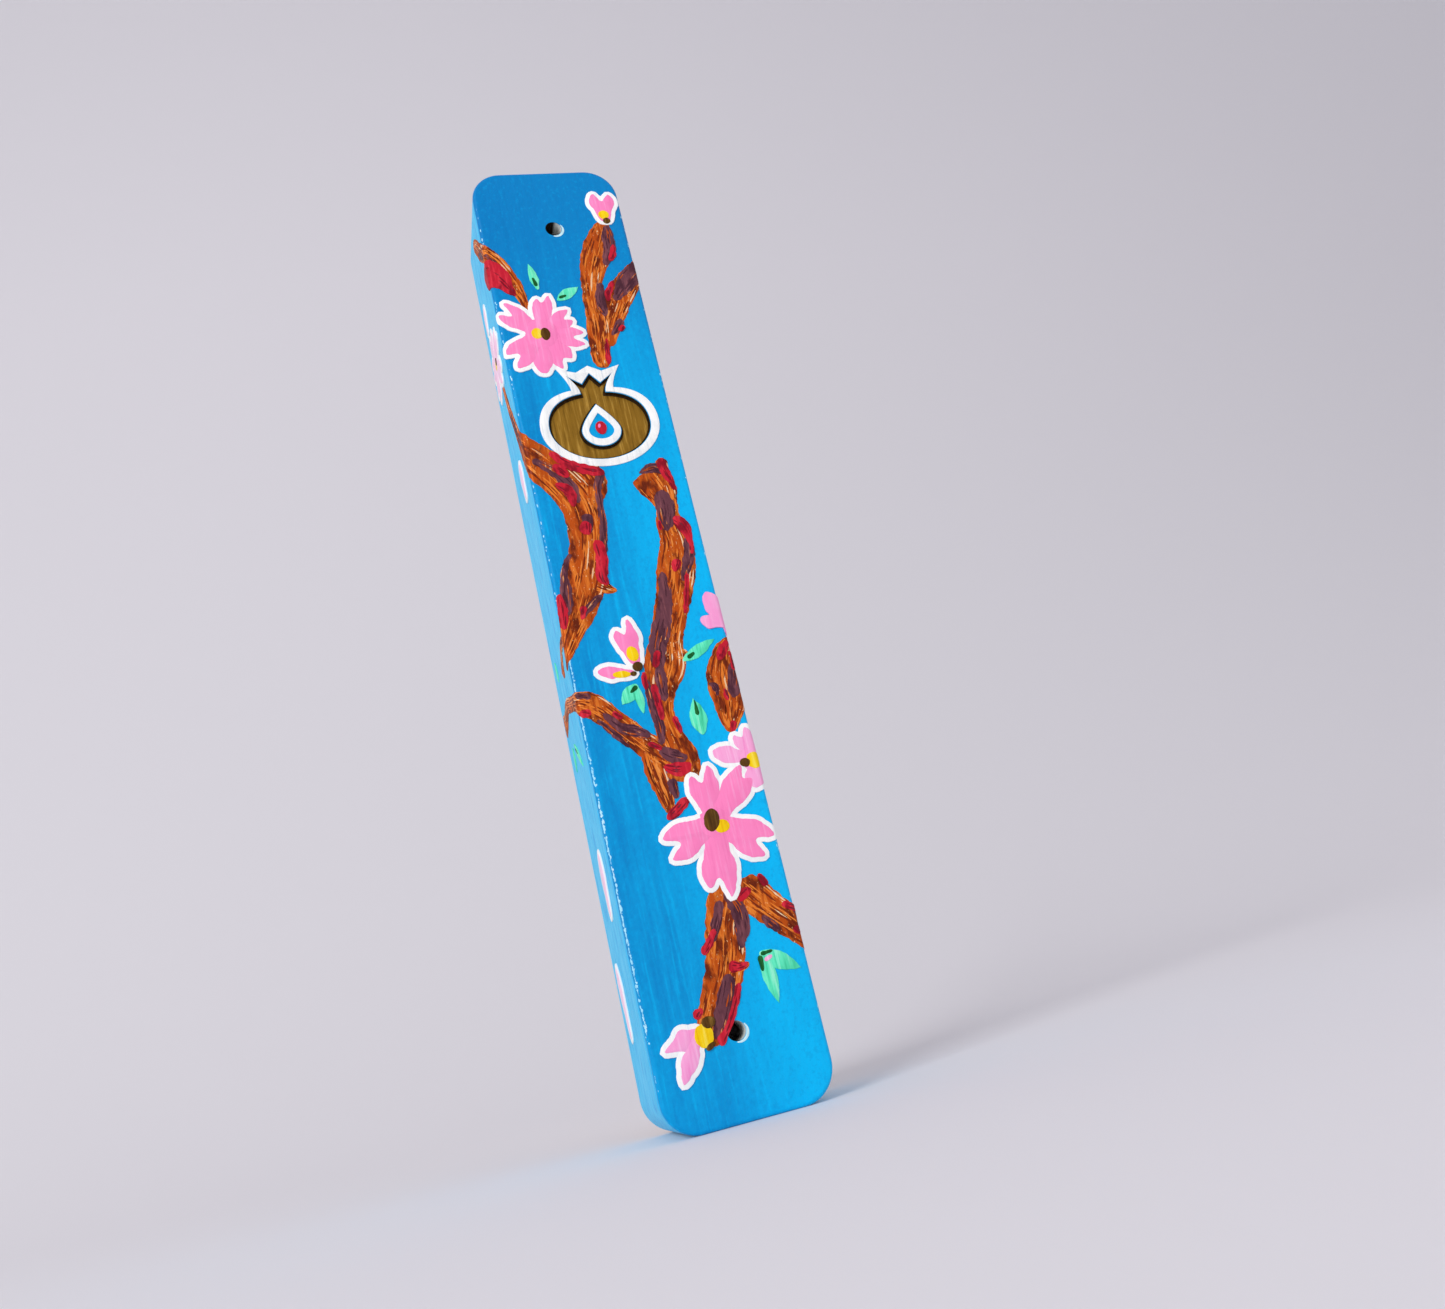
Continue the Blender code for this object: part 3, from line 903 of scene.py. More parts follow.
# Bark strokes: each stop is (across, up, width).
COPPER = {
    "upper_right_branch": [
        [(7.1, 54.2, 1.7), (6.2, 52.0, 3.2), (5.3, 49.6, 4.1), (4.2, 47.0, 3.6), (3.4, 44.0, 2.8),
         (3.1, 41.0, 2.6), (3.0, 38.0, 3.0), (2.7, 35.0, 2.9), (2.4, 32.6, 2.3), (2.5, 31.2, 1.6)],
        [(14.4, 49.6, 0.9), (12.6, 48.0, 2.0), (10.6, 46.4, 2.8), (8.8, 44.6, 3.3), (7.0, 42.4, 3.9),
         (5.6, 39.8, 3.5), (4.4, 37.0, 2.9), (3.4, 34.4, 2.0)],
    ],
    "upper_left_branch": [
        [(-17.4, 57.2, 1.5), (-15.2, 55.2, 2.2), (-12.8, 52.6, 2.6), (-10.8, 50.8, 2.4), (-9.0, 48.8, 2.6),
         (-7.4, 46.0, 2.2), (-6.4, 43.2, 1.5), (-5.9, 40.6, 0.7)],
    ],
    "left_trunk": [
        [(-17.4, 37.0, 0.9), (-15.6, 30.5, 1.7), (-13.2, 25.5, 2.2), (-10.8, 21.2, 3.6), (-8.6, 18.5, 4.8),
         (-6.4, 15.7, 5.0), (-4.5, 12.2, 5.2), (-4.3, 8.5, 4.9), (-5.0, 5.0, 4.7), (-6.0, 1.8, 5.2),
         (-7.3, -1.2, 4.8), (-8.9, -4.4, 3.3), (-10.3, -7.2, 1.9), (-11.6, -8.8, 0.8)],
        [(-5.2, 18.9, 1.2), (-4.0, 17.6, 2.4), (-2.6, 16.4, 3.0), (-2.1, 14.6, 3.2), (-2.8, 12.4, 2.6)],
        [(-4.6, 1.2, 2.4), (-3.4, 0.3, 1.4), (-2.3, -0.1, 0.3)],
        [(-10.2, -5.2, 1.4), (-12.4, -5.2, 1.2), (-14.2, -6.6, 1.3), (-15.4, -8.3, 2.4)],
    ],
    "lower_left_branch": [
        [(-22.6, -12.8, 3.4), (-20.5, -12.6, 2.2), (-17.6, -11.6, 2.0), (-14.5, -12.2, 1.9),
         (-11.5, -12.9, 2.0),
         (-9.4, -13.6, 3.0), (-7.8, -14.5, 3.2), (-6.0, -16.4, 2.9), (-4.0, -18.7, 2.9), (-2.2, -20.6, 3.2),
         (-0.2, -22.6, 3.2)],
        [(-2.8, -20.5, 2.2), (-2.5, -23.5, 2.4), (-2.0, -26.2, 1.9), (-1.8, -28.4, 1.0)],
    ],
    "right_trunk": [
        [(4.8, 15.6, 5.2), (5.9, 13.0, 4.8), (6.3, 10.6, 3.0), (6.2, 8.0, 3.4), (6.4, 5.0, 4.2),
         (5.7, 1.8, 5.0),
         (4.6, -1.6, 4.6), (3.4, -4.6, 4.1), (2.2, -7.6, 4.2), (1.5, -10.4, 5.2), (0.4, -13.0, 4.0),
         (-0.2, -16.0, 2.9), (0.2, -19.0, 3.0), (0.8, -22.0, 4.2), (0.8, -25.0, 4.2)],
        [(7.2, 17.3, 1.2), (6.9, 15.8, 1.8), (6.6, 14.0, 1.6)],
        [(3.2, -9.2, 2.2), (4.4, -9.7, 1.0), (5.2, -10.1, 0.3)],
    ],
    "right_edge_branch": [
        [(10.2, -8.2, 0.9), (9.0, -10.4, 3.0), (8.4, -13.4, 4.6), (8.4, -16.0, 4.4), (7.9, -18.2, 3.0),
         (7.6, -20.2, 0.8)],
        [(9.2, -13.0, 3.0), (11.2, -13.6, 2.6), (13.6, -12.6, 1.8), (16.2, -10.4, 1.2), (18.2, -7.2, 0.6)],
    ],
    "lower_trunk": [
        [(3.2, -37.4, 3.2), (2.6, -39.4, 5.0), (1.5, -42.0, 4.6), (0.9, -44.6, 4.6), (0.1, -47.2, 4.4),
         (-1.2, -49.8, 4.1), (-2.5, -52.4, 3.6), (-2.9, -54.4, 2.2)],
        [(4.2, -37.8, 3.4), (5.6, -39.6, 4.2), (7.2, -41.4, 3.9), (9.0, -43.2, 3.8), (11.0, -45.2, 3.4),
         (13.4, -46.6, 2.2), (15.8, -47.0, 0.8)],
        [(1.4, -46.7, 2.0), (2.4, -46.9, 1.2), (3.2, -46.8, 0.3)],
    ],
}

PLUM = {
    "upper_right_branch": [
        [(7.4, 53.6, 0.8), (7.2, 51.6, 1.7), (7.0, 49.4, 1.7), (5.9, 47.2, 0.8)],
        [(4.6, 44.4, 0.8), (4.1, 41.5, 1.4), (4.4, 39.2, 0.8)],
        [(13.8, 49.0, 0.8), (11.2, 47.0, 2.0), (9.4, 45.4, 2.7), (7.6, 43.4, 2.3), (6.2, 41.4, 0.8)],
        [(6.4, 38.5, 0.8), (5.6, 37.2, 1.1), (4.6, 36.0, 0.5)],
    ],
    "upper_left_branch": [
        [(-9.9, 50.0, 0.3), (-9.1, 48.6, 0.7), (-8.4, 47.2, 0.4)],
        [(-14.2, 53.4, 0.4), (-12.2, 51.4, 0.9), (-11.0, 49.9, 0.5)],
    ],
    "left_trunk": [
        [(-9.3, 18.9, 0.8), (-7.0, 17.0, 1.4), (-5.3, 14.6, 1.6), (-4.7, 12.2, 1.0)],
        [(-4.0, 10.6, 1.4), (-4.1, 8.0, 1.0)],
        [(-0.9, 16.4, 1.4), (-1.8, 14.4, 1.0), (-2.1, 11.0, 0.8), (-2.5, 7.5, 0.9), (-3.1, 4.2, 0.7)],
        [(-7.0, 5.6, 0.5), (-8.2, 3.4, 0.8), (-8.5, 1.2, 1.4), (-8.8, -0.8, 1.6), (-9.1, -2.6, 1.0)],
        [(-4.4, -0.4, 0.8), (-6.0, -1.7, 1.0), (-7.4, -3.2, 0.5)],
        [(-14.6, 29.0, 0.4), (-12.9, 25.0, 0.9), (-11.0, 21.8, 1.2)],
    ],
    "lower_left_branch": [
        [(-10.0, -12.4, 0.8), (-8.3, -13.0, 0.7)],
        [(-7.2, -15.2, 0.6), (-5.4, -17.3, 1.2), (-3.6, -18.1, 1.4), (-2.2, -19.0, 0.7)],
        [(-8.0, -15.9, 0.4), (-6.4, -17.9, 0.7), (-5.0, -19.8, 0.4)],
        [(-1.0, -24.4, 1.3), (-0.8, -26.8, 0.8)],
    ],
    "right_trunk": [
        [(3.8, 15.5, 0.7), (6.0, 15.9, 1.4), (7.2, 15.0, 0.8)],
        [(5.9, 12.7, 1.8), (6.2, 10.4, 2.5), (5.9, 8.2, 1.9), (5.7, 7.0, 0.8)],
        [(8.0, 6.0, 0.8), (7.9, 4.0, 1.4), (7.1, 2.0, 1.3), (6.1, 0.0, 0.6)],
        [(3.7, 1.6, 0.8), (3.5, -1.2, 1.6), (2.8, -4.0, 2.0), (1.8, -6.4, 2.3), (0.9, -8.6, 2.1),
         (0.7, -11.0, 1.3)],
        [(0.7, -10.6, 1.4), (0.6, -13.0, 1.4), (0.5, -15.0, 0.8)],
        [(-1.2, -12.0, 0.6), (-1.1, -15.0, 1.1), (-0.9, -18.0, 1.2), (-1.1, -20.2, 0.7)],
        [(-1.5, -20.8, 1.0), (0.0, -21.8, 1.8), (1.6, -22.4, 1.0)],
    ],
    "right_edge_branch": [
        [(9.9, -11.4, 0.8), (9.6, -13.6, 1.9), (9.0, -16.0, 1.1)],
        [(6.3, -13.7, 0.3), (6.9, -14.2, 0.9), (7.0, -15.4, 0.5)],
    ],
    "lower_trunk": [
        [(2.4, -38.4, 1.0), (3.3, -40.8, 1.9), (3.3, -43.0, 1.7), (2.7, -45.0, 0.8)],
        [(1.6, -39.4, 1.0), (0.4, -41.8, 1.2), (-0.4, -43.6, 0.6)],
        [(0.6, -47.4, 1.2), (-0.2, -49.8, 2.2), (-1.4, -52.2, 1.9), (-2.4, -54.0, 1.2)],
        [(5.9, -42.0, 0.6), (6.8, -43.2, 1.1), (7.6, -44.0, 0.4)],
        [(9.6, -41.9, 0.5), (11.4, -43.8, 0.9), (13.0, -45.6, 0.4)],
    ],
}

CRIMSON = {
    "upper_right_branch": [
        [(7.7, 50.4, 0.5), (7.2, 48.6, 0.9), (6.6, 47.8, 0.5)],
        [(6.5, 44.6, 0.5), (5.5, 42.8, 1.0), (5.1, 41.4, 0.4)],
        [(3.7, 35.6, 0.4), (3.4, 33.4, 0.7), (3.2, 31.6, 0.5)],
        [(6.5, 37.4, 0.9), (5.7, 36.6, 0.6)],
    ],
    "upper_left_branch": [
        [(-13.0, 48.6, 0.8), (-10.8, 47.4, 3.8), (-9.0, 46.2, 3.6), (-7.9, 44.6, 1.8), (-7.0, 43.0, 0.4)],
    ],
    "left_trunk": [
        [(-6.9, 19.6, 0.7), (-5.4, 18.0, 1.2), (-3.6, 17.0, 1.4), (-1.8, 16.4, 1.3), (-0.7, 16.0, 1.0)],
        [(-6.9, 17.8, 0.8), (-6.0, 16.9, 1.3), (-5.3, 15.9, 0.7)],
        [(-7.0, 15.2, 0.8), (-5.5, 13.8, 1.4), (-5.3, 11.8, 0.6)],
        [(-4.4, 9.6, 1.5), (-4.6, 7.8, 1.3)],
        [(-3.5, 6.9, 1.2), (-3.3, 4.5, 1.6), (-3.8, 2.2, 1.5), (-3.4, 0.8, 0.9)],
        [(-9.4, 0.4, 0.6), (-9.4, -1.8, 1.2), (-9.7, -4.2, 0.8)],
        [(-6.8, -1.5, 0.9), (-7.3, -3.2, 0.5)],
    ],
    "lower_left_branch": [
        [(-9.9, -14.7, 1.1), (-8.6, -15.1, 0.9)],
        [(-6.1, -15.3, 0.7), (-5.1, -16.2, 0.7)],
        [(-2.6, -19.7, 0.8), (-1.2, -20.7, 0.6)],
        [(-2.4, -29.0, 0.9), (-0.8, -28.0, 1.3), (0.6, -27.0, 0.9)],
    ],
    "right_trunk": [
        [(7.0, 17.2, 1.2), (7.1, 15.6, 1.3), (7.6, 14.0, 0.9), (8.0, 12.5, 0.7)],
        [(4.9, 8.6, 0.5), (4.8, 7.2, 0.6)],
        [(6.9, 8.7, 1.3), (7.9, 7.3, 1.7), (8.3, 5.2, 0.8), (8.1, 3.4, 0.4)],
        [(6.1, 3.0, 1.3), (5.3, 1.4, 0.9)],
        [(6.9, 1.0, 0.5), (6.2, -1.6, 0.7), (5.4, -4.4, 0.5)],
        [(0.9, -8.6, 1.0), (0.2, -10.6, 0.8)],
        [(-0.5, -12.6, 0.8), (-0.4, -15.0, 0.9), (-0.3, -17.2, 0.6)],
        [(1.1, -17.0, 0.8), (1.5, -19.2, 0.5)],
        [(-1.5, -22.8, 0.8), (0.2, -23.5, 1.8), (1.8, -23.2, 1.2)],
        [(-1.4, -11.0, 0.8), (-1.5, -13.2, 0.6)],
    ],
    "right_edge_branch": [
        [(9.9, -8.6, 0.7), (8.9, -9.8, 1.3), (8.3, -11.0, 0.8)],
        [(9.9, -10.0, 0.5), (9.8, -12.6, 0.7)],
        [(8.2, -18.8, 1.1), (7.7, -20.1, 0.5)],
        [(8.0, -14.6, 0.4), (8.1, -16.2, 0.6)],
    ],
    "lower_trunk": [
        [(3.6, -39.6, 1.2), (5.2, -38.6, 1.1)],
        [(7.3, -38.8, 1.0), (6.7, -37.2, 0.6)],
        [(-1.8, -44.7, 0.8), (-0.8, -43.6, 1.0), (0.2, -42.2, 0.4)],
        [(0.8, -46.6, 1.5), (2.0, -46.9, 1.0), (3.0, -46.8, 0.4)],
        [(8.6, -41.2, 0.8), (10.4, -42.2, 0.7)],
        [(1.5, -48.6, 0.6), (0.6, -50.6, 0.8), (-0.7, -52.8, 0.7), (-2.2, -54.5, 1.2)],
        [(-4.3, -51.2, 1.1), (-3.3, -50.4, 0.8)],
        [(9.4, -43.9, 1.1), (9.9, -45.0, 0.4)],
    ],
}

# Flowers: their middle, the radius of the pink in it, and petals of (angle, length, width, notch, skew).
BLOSSOMS = {
    "upper_left_blossom": ((-4.7, 37.0), 2.2, [
        (138, 6.2, 3.2, 1.7, 0.04), (79, 5.7, 2.7, 0.8, 0.06), (31, 4.9, 2.8, 1.0, -0.06),
        (-12, 5.6, 3.0, 1.4, 0.03),
        (-62, 5.4, 3.4, 1.0, 0.06), (-98, 6.1, 2.6, 0.0, 0.0), (-140, 5.9, 3.9, 1.4, -0.05)]),
    "large_blossom": ((3.0, -30.4), 1.8, [
        (94, 6.3, 3.7, 1.4, 0.07), (45, 7.3, 3.5, 0.9, -0.04), (-34, 7.0, 4.5, 1.7, -0.02),
        (-98, 8.2, 4.2, 1.7, -0.07),
        (199, 6.5, 4.3, 1.7, -0.02)]),
    "right_edge_blossom": ((9.4, -23.8), 1.5, [
        (104, 3.7, 2.7, 0.8, 0.05), (161, 5.0, 2.2, 0.0, 0.0), (36, 4.6, 3.2, 1.2, 0.04),
        (-30, 4.7, 3.2, 1.2, -0.04),
        (-98, 3.6, 2.6, 0.0, 0.0)]),
    "top_bud": ((7.4, 54.4), 0.0, [(88, 4.4, 3.5, 1.2, 0.0)]),
    "heart_bud": ((-2.0, -9.7), 0.0, [(99, 5.1, 3.0, 1.3, 0.09)]),
    "oval_bud": ((-2.6, -10.9), 0.0, [(169, 4.3, 1.6, 0.0, 0.0)]),
    "bottom_bud": ((-4.2, -52.7), 0.0, [(196, 2.7, 2.5, -1.6, 0.0), (240, 4.6, 1.9, -1.1, 0.0)]),
    "left_side_blossom": ((-17.8, 38.0), 1.5, [
        (28, 4.8, 3.2, 1.0, 0.03), (96, 5.0, 3.2, 1.0, -0.03), (162, 4.0, 3.2, 0.8, 0.02),
        (232, 4.6, 3.2, 1.0, -0.04),
        (-48, 4.6, 3.2, 1.0, 0.04)]),
    "left_side_buds": (None, 0.0, [
        ((-15.4, 16.6), 96, 5.0, 2.2, 0.0, 0.0), ((-16.0, -37.6), 90, 7.2, 2.3, 0.0, 0.0),
        ((-19.2, -51.4), 97, 8.0, 2.0, 0.0, 0.0), ((-19.6, 44.4), 84, 3.8, 1.4, 0.0, 0.0)]),
    "right_side_blossom": ((17.0, 25.6), 1.5, [
        (88, 4.9, 3.3, 1.1, 0.03), (16, 4.6, 3.3, 1.0, -0.03), (-56, 4.8, 3.3, 1.0, 0.03),
        (-128, 4.8, 3.3, 1.0, 0.03),
        (160, 4.8, 3.3, 1.0, -0.03)]),
    "right_side_buds": (None, 0.0, [
        ((18.4, -6.6), 74, 5.4, 2.4, 0.0, 0.0), ((15.8, -47.2), -18, 5.2, 2.4, 0.0, 0.0)]),
}
PALE_BLOSSOMS = ("bottom_bud", "right_edge_blossom")
SIDE_BLOSSOMS = ("left_side_blossom", "left_side_buds", "right_side_blossom", "right_side_buds")
# Two petals with no outline, which come over the right edge.
LONE_PETALS = [((10.8, -7.6), 112, 6.1, 2.6, 0.0, 0.0), ((10.4, -6.6), 160, 3.5, 1.9, 0.0, 0.0)]

# Dabs: (across, up, half width, half height, angle).
YELLOW_DABS = [
    (-5.3, 37.1, 0.75, 0.85, 0), (3.7, -31.0, 0.95, 0.8, 0), (9.5, -24.0, 1.0, 1.0, 0),
    (7.35, 55.3, 0.75, 0.75, 0),
    (-2.2, -8.5, 0.75, 1.0, 10), (-4.0, -10.85, 1.1, 0.42, -5), (-3.7, -53.2, 1.1, 1.3, 0),
    (-17.9, 38.0, 0.6, 0.7, 0),
    (17.1, 25.5, 0.8, 0.8, 0),
]
BROWN_DABS = [
    (-4.25, 36.95, 0.65, 0.95, 0), (2.7, -30.1, 0.95, 1.35, -15), (8.3, -24.1, 0.65, 0.55, 0),
    (7.6, 54.3, 0.5, 0.5, 0), (-1.9, -10.2, 0.65, 0.6, 0), (-2.9, -51.9, 0.8, 0.65, 0),
    (-2.6, -11.0, 0.4, 0.3, 0),
    (-17.2, 38.2, 0.45, 0.55, 0), (16.3, 25.8, 0.55, 0.6, 0), (-3.2, -54.4, 0.6, 0.35, 30),
]

# Leaves: (stem end, point, width) and the dark dabs on them.
LEAVES = [
    ((-3.9, 44.0), (-4.5, 48.0), 1.2), ((-1.6, 42.1), (1.5, 43.9), 1.5), ((-2.5, -12.4),
    (-4.7, -14.5), 1.8),
    ((-2.6, -12.6), (-2.4, -16.0), 1.1), ((3.9, -10.3), (8.2, -8.2), 1.5), ((4.1, -19.7),
    (3.9, -15.3), 2.1),
    ((4.7, -46.0), (8.9, -48.5), 2.0), ((4.9, -46.0), (5.5, -51.6), 1.7), ((-20.2, -4.8),
    (-20.0, -7.4), 1.1),
    ((-19.6, -16.4), (-19.9, -19.4), 1.1), ((-17.8, -16.4), (-14.2, -20.0), 1.1), ((14.2, 50.8),
    (17.4, 53.6), 1.4),
    ((14.0, 33.0), (15.4, 37.0), 1.3), ((19.4, 19.6), (20.4, 16.0), 1.3), ((16.2, -43.8),
    (20.0, -41.0), 1.5),
    ((13.2, -16.8), (15.0, -20.6), 1.4),
]
LEAF_DABS = [
    [(-4.3, 45.8, 0.3), (-4.0, 44.4, 0.6)], [(-1.4, 42.4, 0.5), (-0.3, 42.7, 0.3)],
    [(-2.5, -12.6, 0.7), (-3.5, -13.3, 0.3)],
    [(4.4, -10.1, 0.6), (5.4, -9.5, 0.4)], [(4.0, -15.4, 0.2), (4.0, -17.4, 0.6)],
    [(4.5, -48.0, 0.4), (4.6, -46.2, 0.6)],
    [(4.7, -46.1, 0.5), (6.2, -46.0, 0.3)], [(-17.3, -17.0, 0.4), (-16.2, -18.0, 0.2)],
    [(14.8, 51.4, 0.5), (15.8, 52.3, 0.2)],
    [(16.8, -43.3, 0.5), (18.0, -42.4, 0.2)],
]
LEAF_GLINT = [(5.0, -46.9, 0.5), (6.0, -46.5, 0.4)]


# ---------------------------------------------------------------------------------------------------------
# Operators
# ---------------------------------------------------------------------------------------------------------

class MEZUZAH_OT_block(bpy.types.Operator):
    """Make the wooden block with its channel, rebate, nail holes, notch and engraved emblem"""

    bl_idname = "mezuzah.block"
    bl_label = "Wooden block"
    bl_options = {"UNDO"}

    CUT_MARGIN = 0.002

    def cutter(self, obj, name, y):
        """Name a cutter and set it in depth."""
        obj.name = name
        obj.location.y = y
        return obj

    def pocket(self, name, width, length, depth, radius):
        """A routed pocket, open at the back."""
        solid = rounded_block((width, depth + self.CUT_MARGIN, length), radius, corner_segments=12)
        return self.cutter(solid, name, BACK_Y - depth + (depth + self.CUT_MARGIN) / 2)

    def drill(self, name, radius, z, y, depth):
        """A hole along Y."""
        bpy.ops.mesh.primitive_cylinder_add(
            vertices=48, radius=radius, depth=depth, location=(0, 0, z), rotation=(math.pi / 2, 0, 0))
        return self.cutter(bpy.context.object, name, y)

    def execute(self, context):
        sizes = context.scene.mezuzah_sizes
        size = CASE_HIGH - CASE_LOW
        block = rounded_block(size, sizes.corner_radius, sizes.edge_round)
        rebate_length = sizes.channel_length + 2 * sizes.rebate_margin
        rebate_width = sizes.channel_width + 2 * sizes.rebate_margin
        rebate_cut = sizes.rebate_depth + self.CUT_MARGIN
        rebate_y = BACK_Y - sizes.rebate_depth + rebate_cut / 2
        emblem = [fruit_outline(), window_outline()]
        cutters = [
            self.pocket("channel", sizes.channel_width, sizes.channel_length, size.y - sizes.front_wall,
                        sizes.router_radius),
            self.pocket("rebate", rebate_width, rebate_length, sizes.rebate_depth, sizes.router_radius),
            self.drill("upper_hole", sizes.hole_radius, sizes.hole_spacing / 2, 0.0, size.y * 1.5),
            self.drill("lower_hole", sizes.hole_radius, -sizes.hole_spacing / 2, 0.0, size.y * 1.5),
            self.drill("notch", sizes.notch_radius, -rebate_length / 2, rebate_y, rebate_cut),
            emblem_solid("emblem", sizes, emblem, 2 * sizes.emblem_depth, FRONT_Y),
        ]
        cut_away(block, cutters)
        block.name = "painted_block"
        block.data.name = "painted_block"
        block.data.materials.clear()
        block.data.materials.append(block_material(context.scene.mezuzah_colours, sizes))
        soften_shading(block)
        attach(block, "case")
        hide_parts("case_body")
        return {"FINISHED"}



def fruit_outline(half_width=0.0066, half_height=0.0049, tip=0.0076, crown=0.0030, valley=(0.0012, 0.0061),
                  neck=(0.0016, 0.0047)):
    """A pomegranate's outline as Bezier points, from the middle tooth of its crown clockwise."""
    side = ROUND_HANDLE * half_height
    foot = ROUND_HANDLE * half_width
    right = [
        (valley, valley, valley),
        ((crown, tip - 0.0002),) * 3,
        (neck, (neck[0], neck[1] + 0.0012), (half_width * 0.72, neck[1] - 0.0003)),
        ((half_width, 0.0), (half_width, side), (half_width, -side)),
    ]
    bottom = ((0.0, -half_height), (foot, -half_height), (-foot, -half_height))
    left = [tuple((-x, z) for x, z in (middle, after, before)) for middle, before, after in reversed(right)]
    return [((0.0, tip),) * 3, *right, bottom, *left]


def window_outline(half_width=0.0026, tip=0.0031, low=-0.0031):
    """A seed-shaped drop as Bezier points."""
    widest = -0.0008
    side = ROUND_HANDLE * (widest - low)
    foot = ROUND_HANDLE * half_width
    right = ((half_width, widest), (half_width, widest + side), (half_width, widest - side))
    left = ((-half_width, widest), (-half_width, widest - side), (-half_width, widest + side))
    return [((0.0, tip),) * 3, right, ((0.0, low), (foot, low), (-foot, low)), left]


def emblem_solid(name, sizes, outlines, thickness, y, round_over=0.0):
    """A solid of the emblem's outlines, standing at the depth y."""
    curve = flat_curve(name, thickness, round_over)
    for outline in outlines:
        add_spline(curve, outline)
    mesh = curve_mesh(name, curve)
    solid = new_object(name, mesh)
    mesh.transform(
        Matrix.Translation((sizes.emblem_x, y, sizes.emblem_z)) @ Matrix.Rotation(math.pi / 2, 4, "X"))
    return solid


class MEZUZAH_OT_emblem(bpy.types.Operator):
    """Paint the engraved pomegranate gold, and outline it in white"""

    bl_idname = "mezuzah.emblem"
    bl_label = "Gold emblem"
    bl_options = {"UNDO"}

    # How far each coat goes into the wood, how far it stands off it, and the rounding of its edges.
    SUNK, OUTLINE_SUNK = 0.00003, 0.00004
    SCORCH_RISE, GOLD_RISE, OUTLINE_RISE, WINDOW_RISE = 0.00003, 0.0001, 0.00011, 0.00010
    COAT_ROUND = 0.00002

    def layer(self, name, outlines, low, high, material, slot):
        """One coat on the emblem, between two depths."""
        sizes = bpy.context.scene.mezuzah_sizes
        piece = emblem_solid(name, sizes, outlines, high - low, -(low + high) / 2, self.COAT_ROUND)
        piece.data.materials.append(material)
        shade_with_creases(piece.data, PAINT_CREASE)
        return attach(piece, "case")

    def execute(self, context):
        colours = context.scene.mezuzah_colours
        sizes = context.scene.mezuzah_sizes
        floor = -FRONT_Y - sizes.emblem_depth
        top = -FRONT_Y
        gold = brushed_paint(
            "emblem_gold_paint", colours.gold, linear(104, 72, 16), linear(196, 152, 66), 0.42, 0.35, 0.1)
        burnt = acrylic(colours, "emblem_burnt_wood")
        white = acrylic(colours, "emblem_outline_white")
        fill = fruit_outline(0.00632, 0.00462, 0.00705, 0.00262, (0.00102, 0.00572), (0.00132, 0.0044))
        fill_window = window_outline(0.00286, 0.00345, -0.00338)
        scorched = [fruit_outline(0.00656, 0.00486, 0.0075), window_outline(0.00264, 0.00316, -0.00314)]
        low = floor - self.SUNK
        self.layer("emblem_scorched_floor", scorched, low, floor + self.SCORCH_RISE, burnt, "emblem_gold")
        self.layer("emblem_gold_fill", [fill, fill_window], low, floor + self.GOLD_RISE, gold, "emblem_gold")
        outer = fruit_outline(0.0078, 0.0060, 0.0088, 0.0042, (0.0017, 0.0079), (0.0028, 0.0053))
        inner = fruit_outline(0.00668, 0.00498, 0.00772, 0.00308, (0.00124, 0.00622), (0.00168, 0.00476))
        low = top - self.OUTLINE_SUNK
        self.layer("emblem_outline", [outer, inner], low, top + self.OUTLINE_RISE, white, "outline_white")
        ring = [window_outline(0.00252, 0.00298, -0.00302), window_outline(0.00164, 0.00176, -0.00204)]
        self.layer("emblem_window_outline", ring, low, top + self.WINDOW_RISE, white, "outline_white")
        seed_paint = acrylic(colours, "seed_crimson")
        glint_paint = acrylic(colours, "seed_glint")
        middle = Vector((sizes.emblem_x, sizes.emblem_z)) / MM
        painter = Painter(sizes)
        seed = [blob(middle + Vector((0.0, -0.45)), 0.72, 0.95, 0, 0.05)]
        painter.paint("emblem_seed", seed, CRIMSON_COAT, seed_paint, "bark_crimson")
        glint = [blob(middle + Vector((-0.2, -0.2)), 0.16, 0.32, -15, 0.03)]
        painter.paint("emblem_seed_glint", glint, PETAL_COAT, glint_paint, "petal_pink")
        return {"FINISHED"}


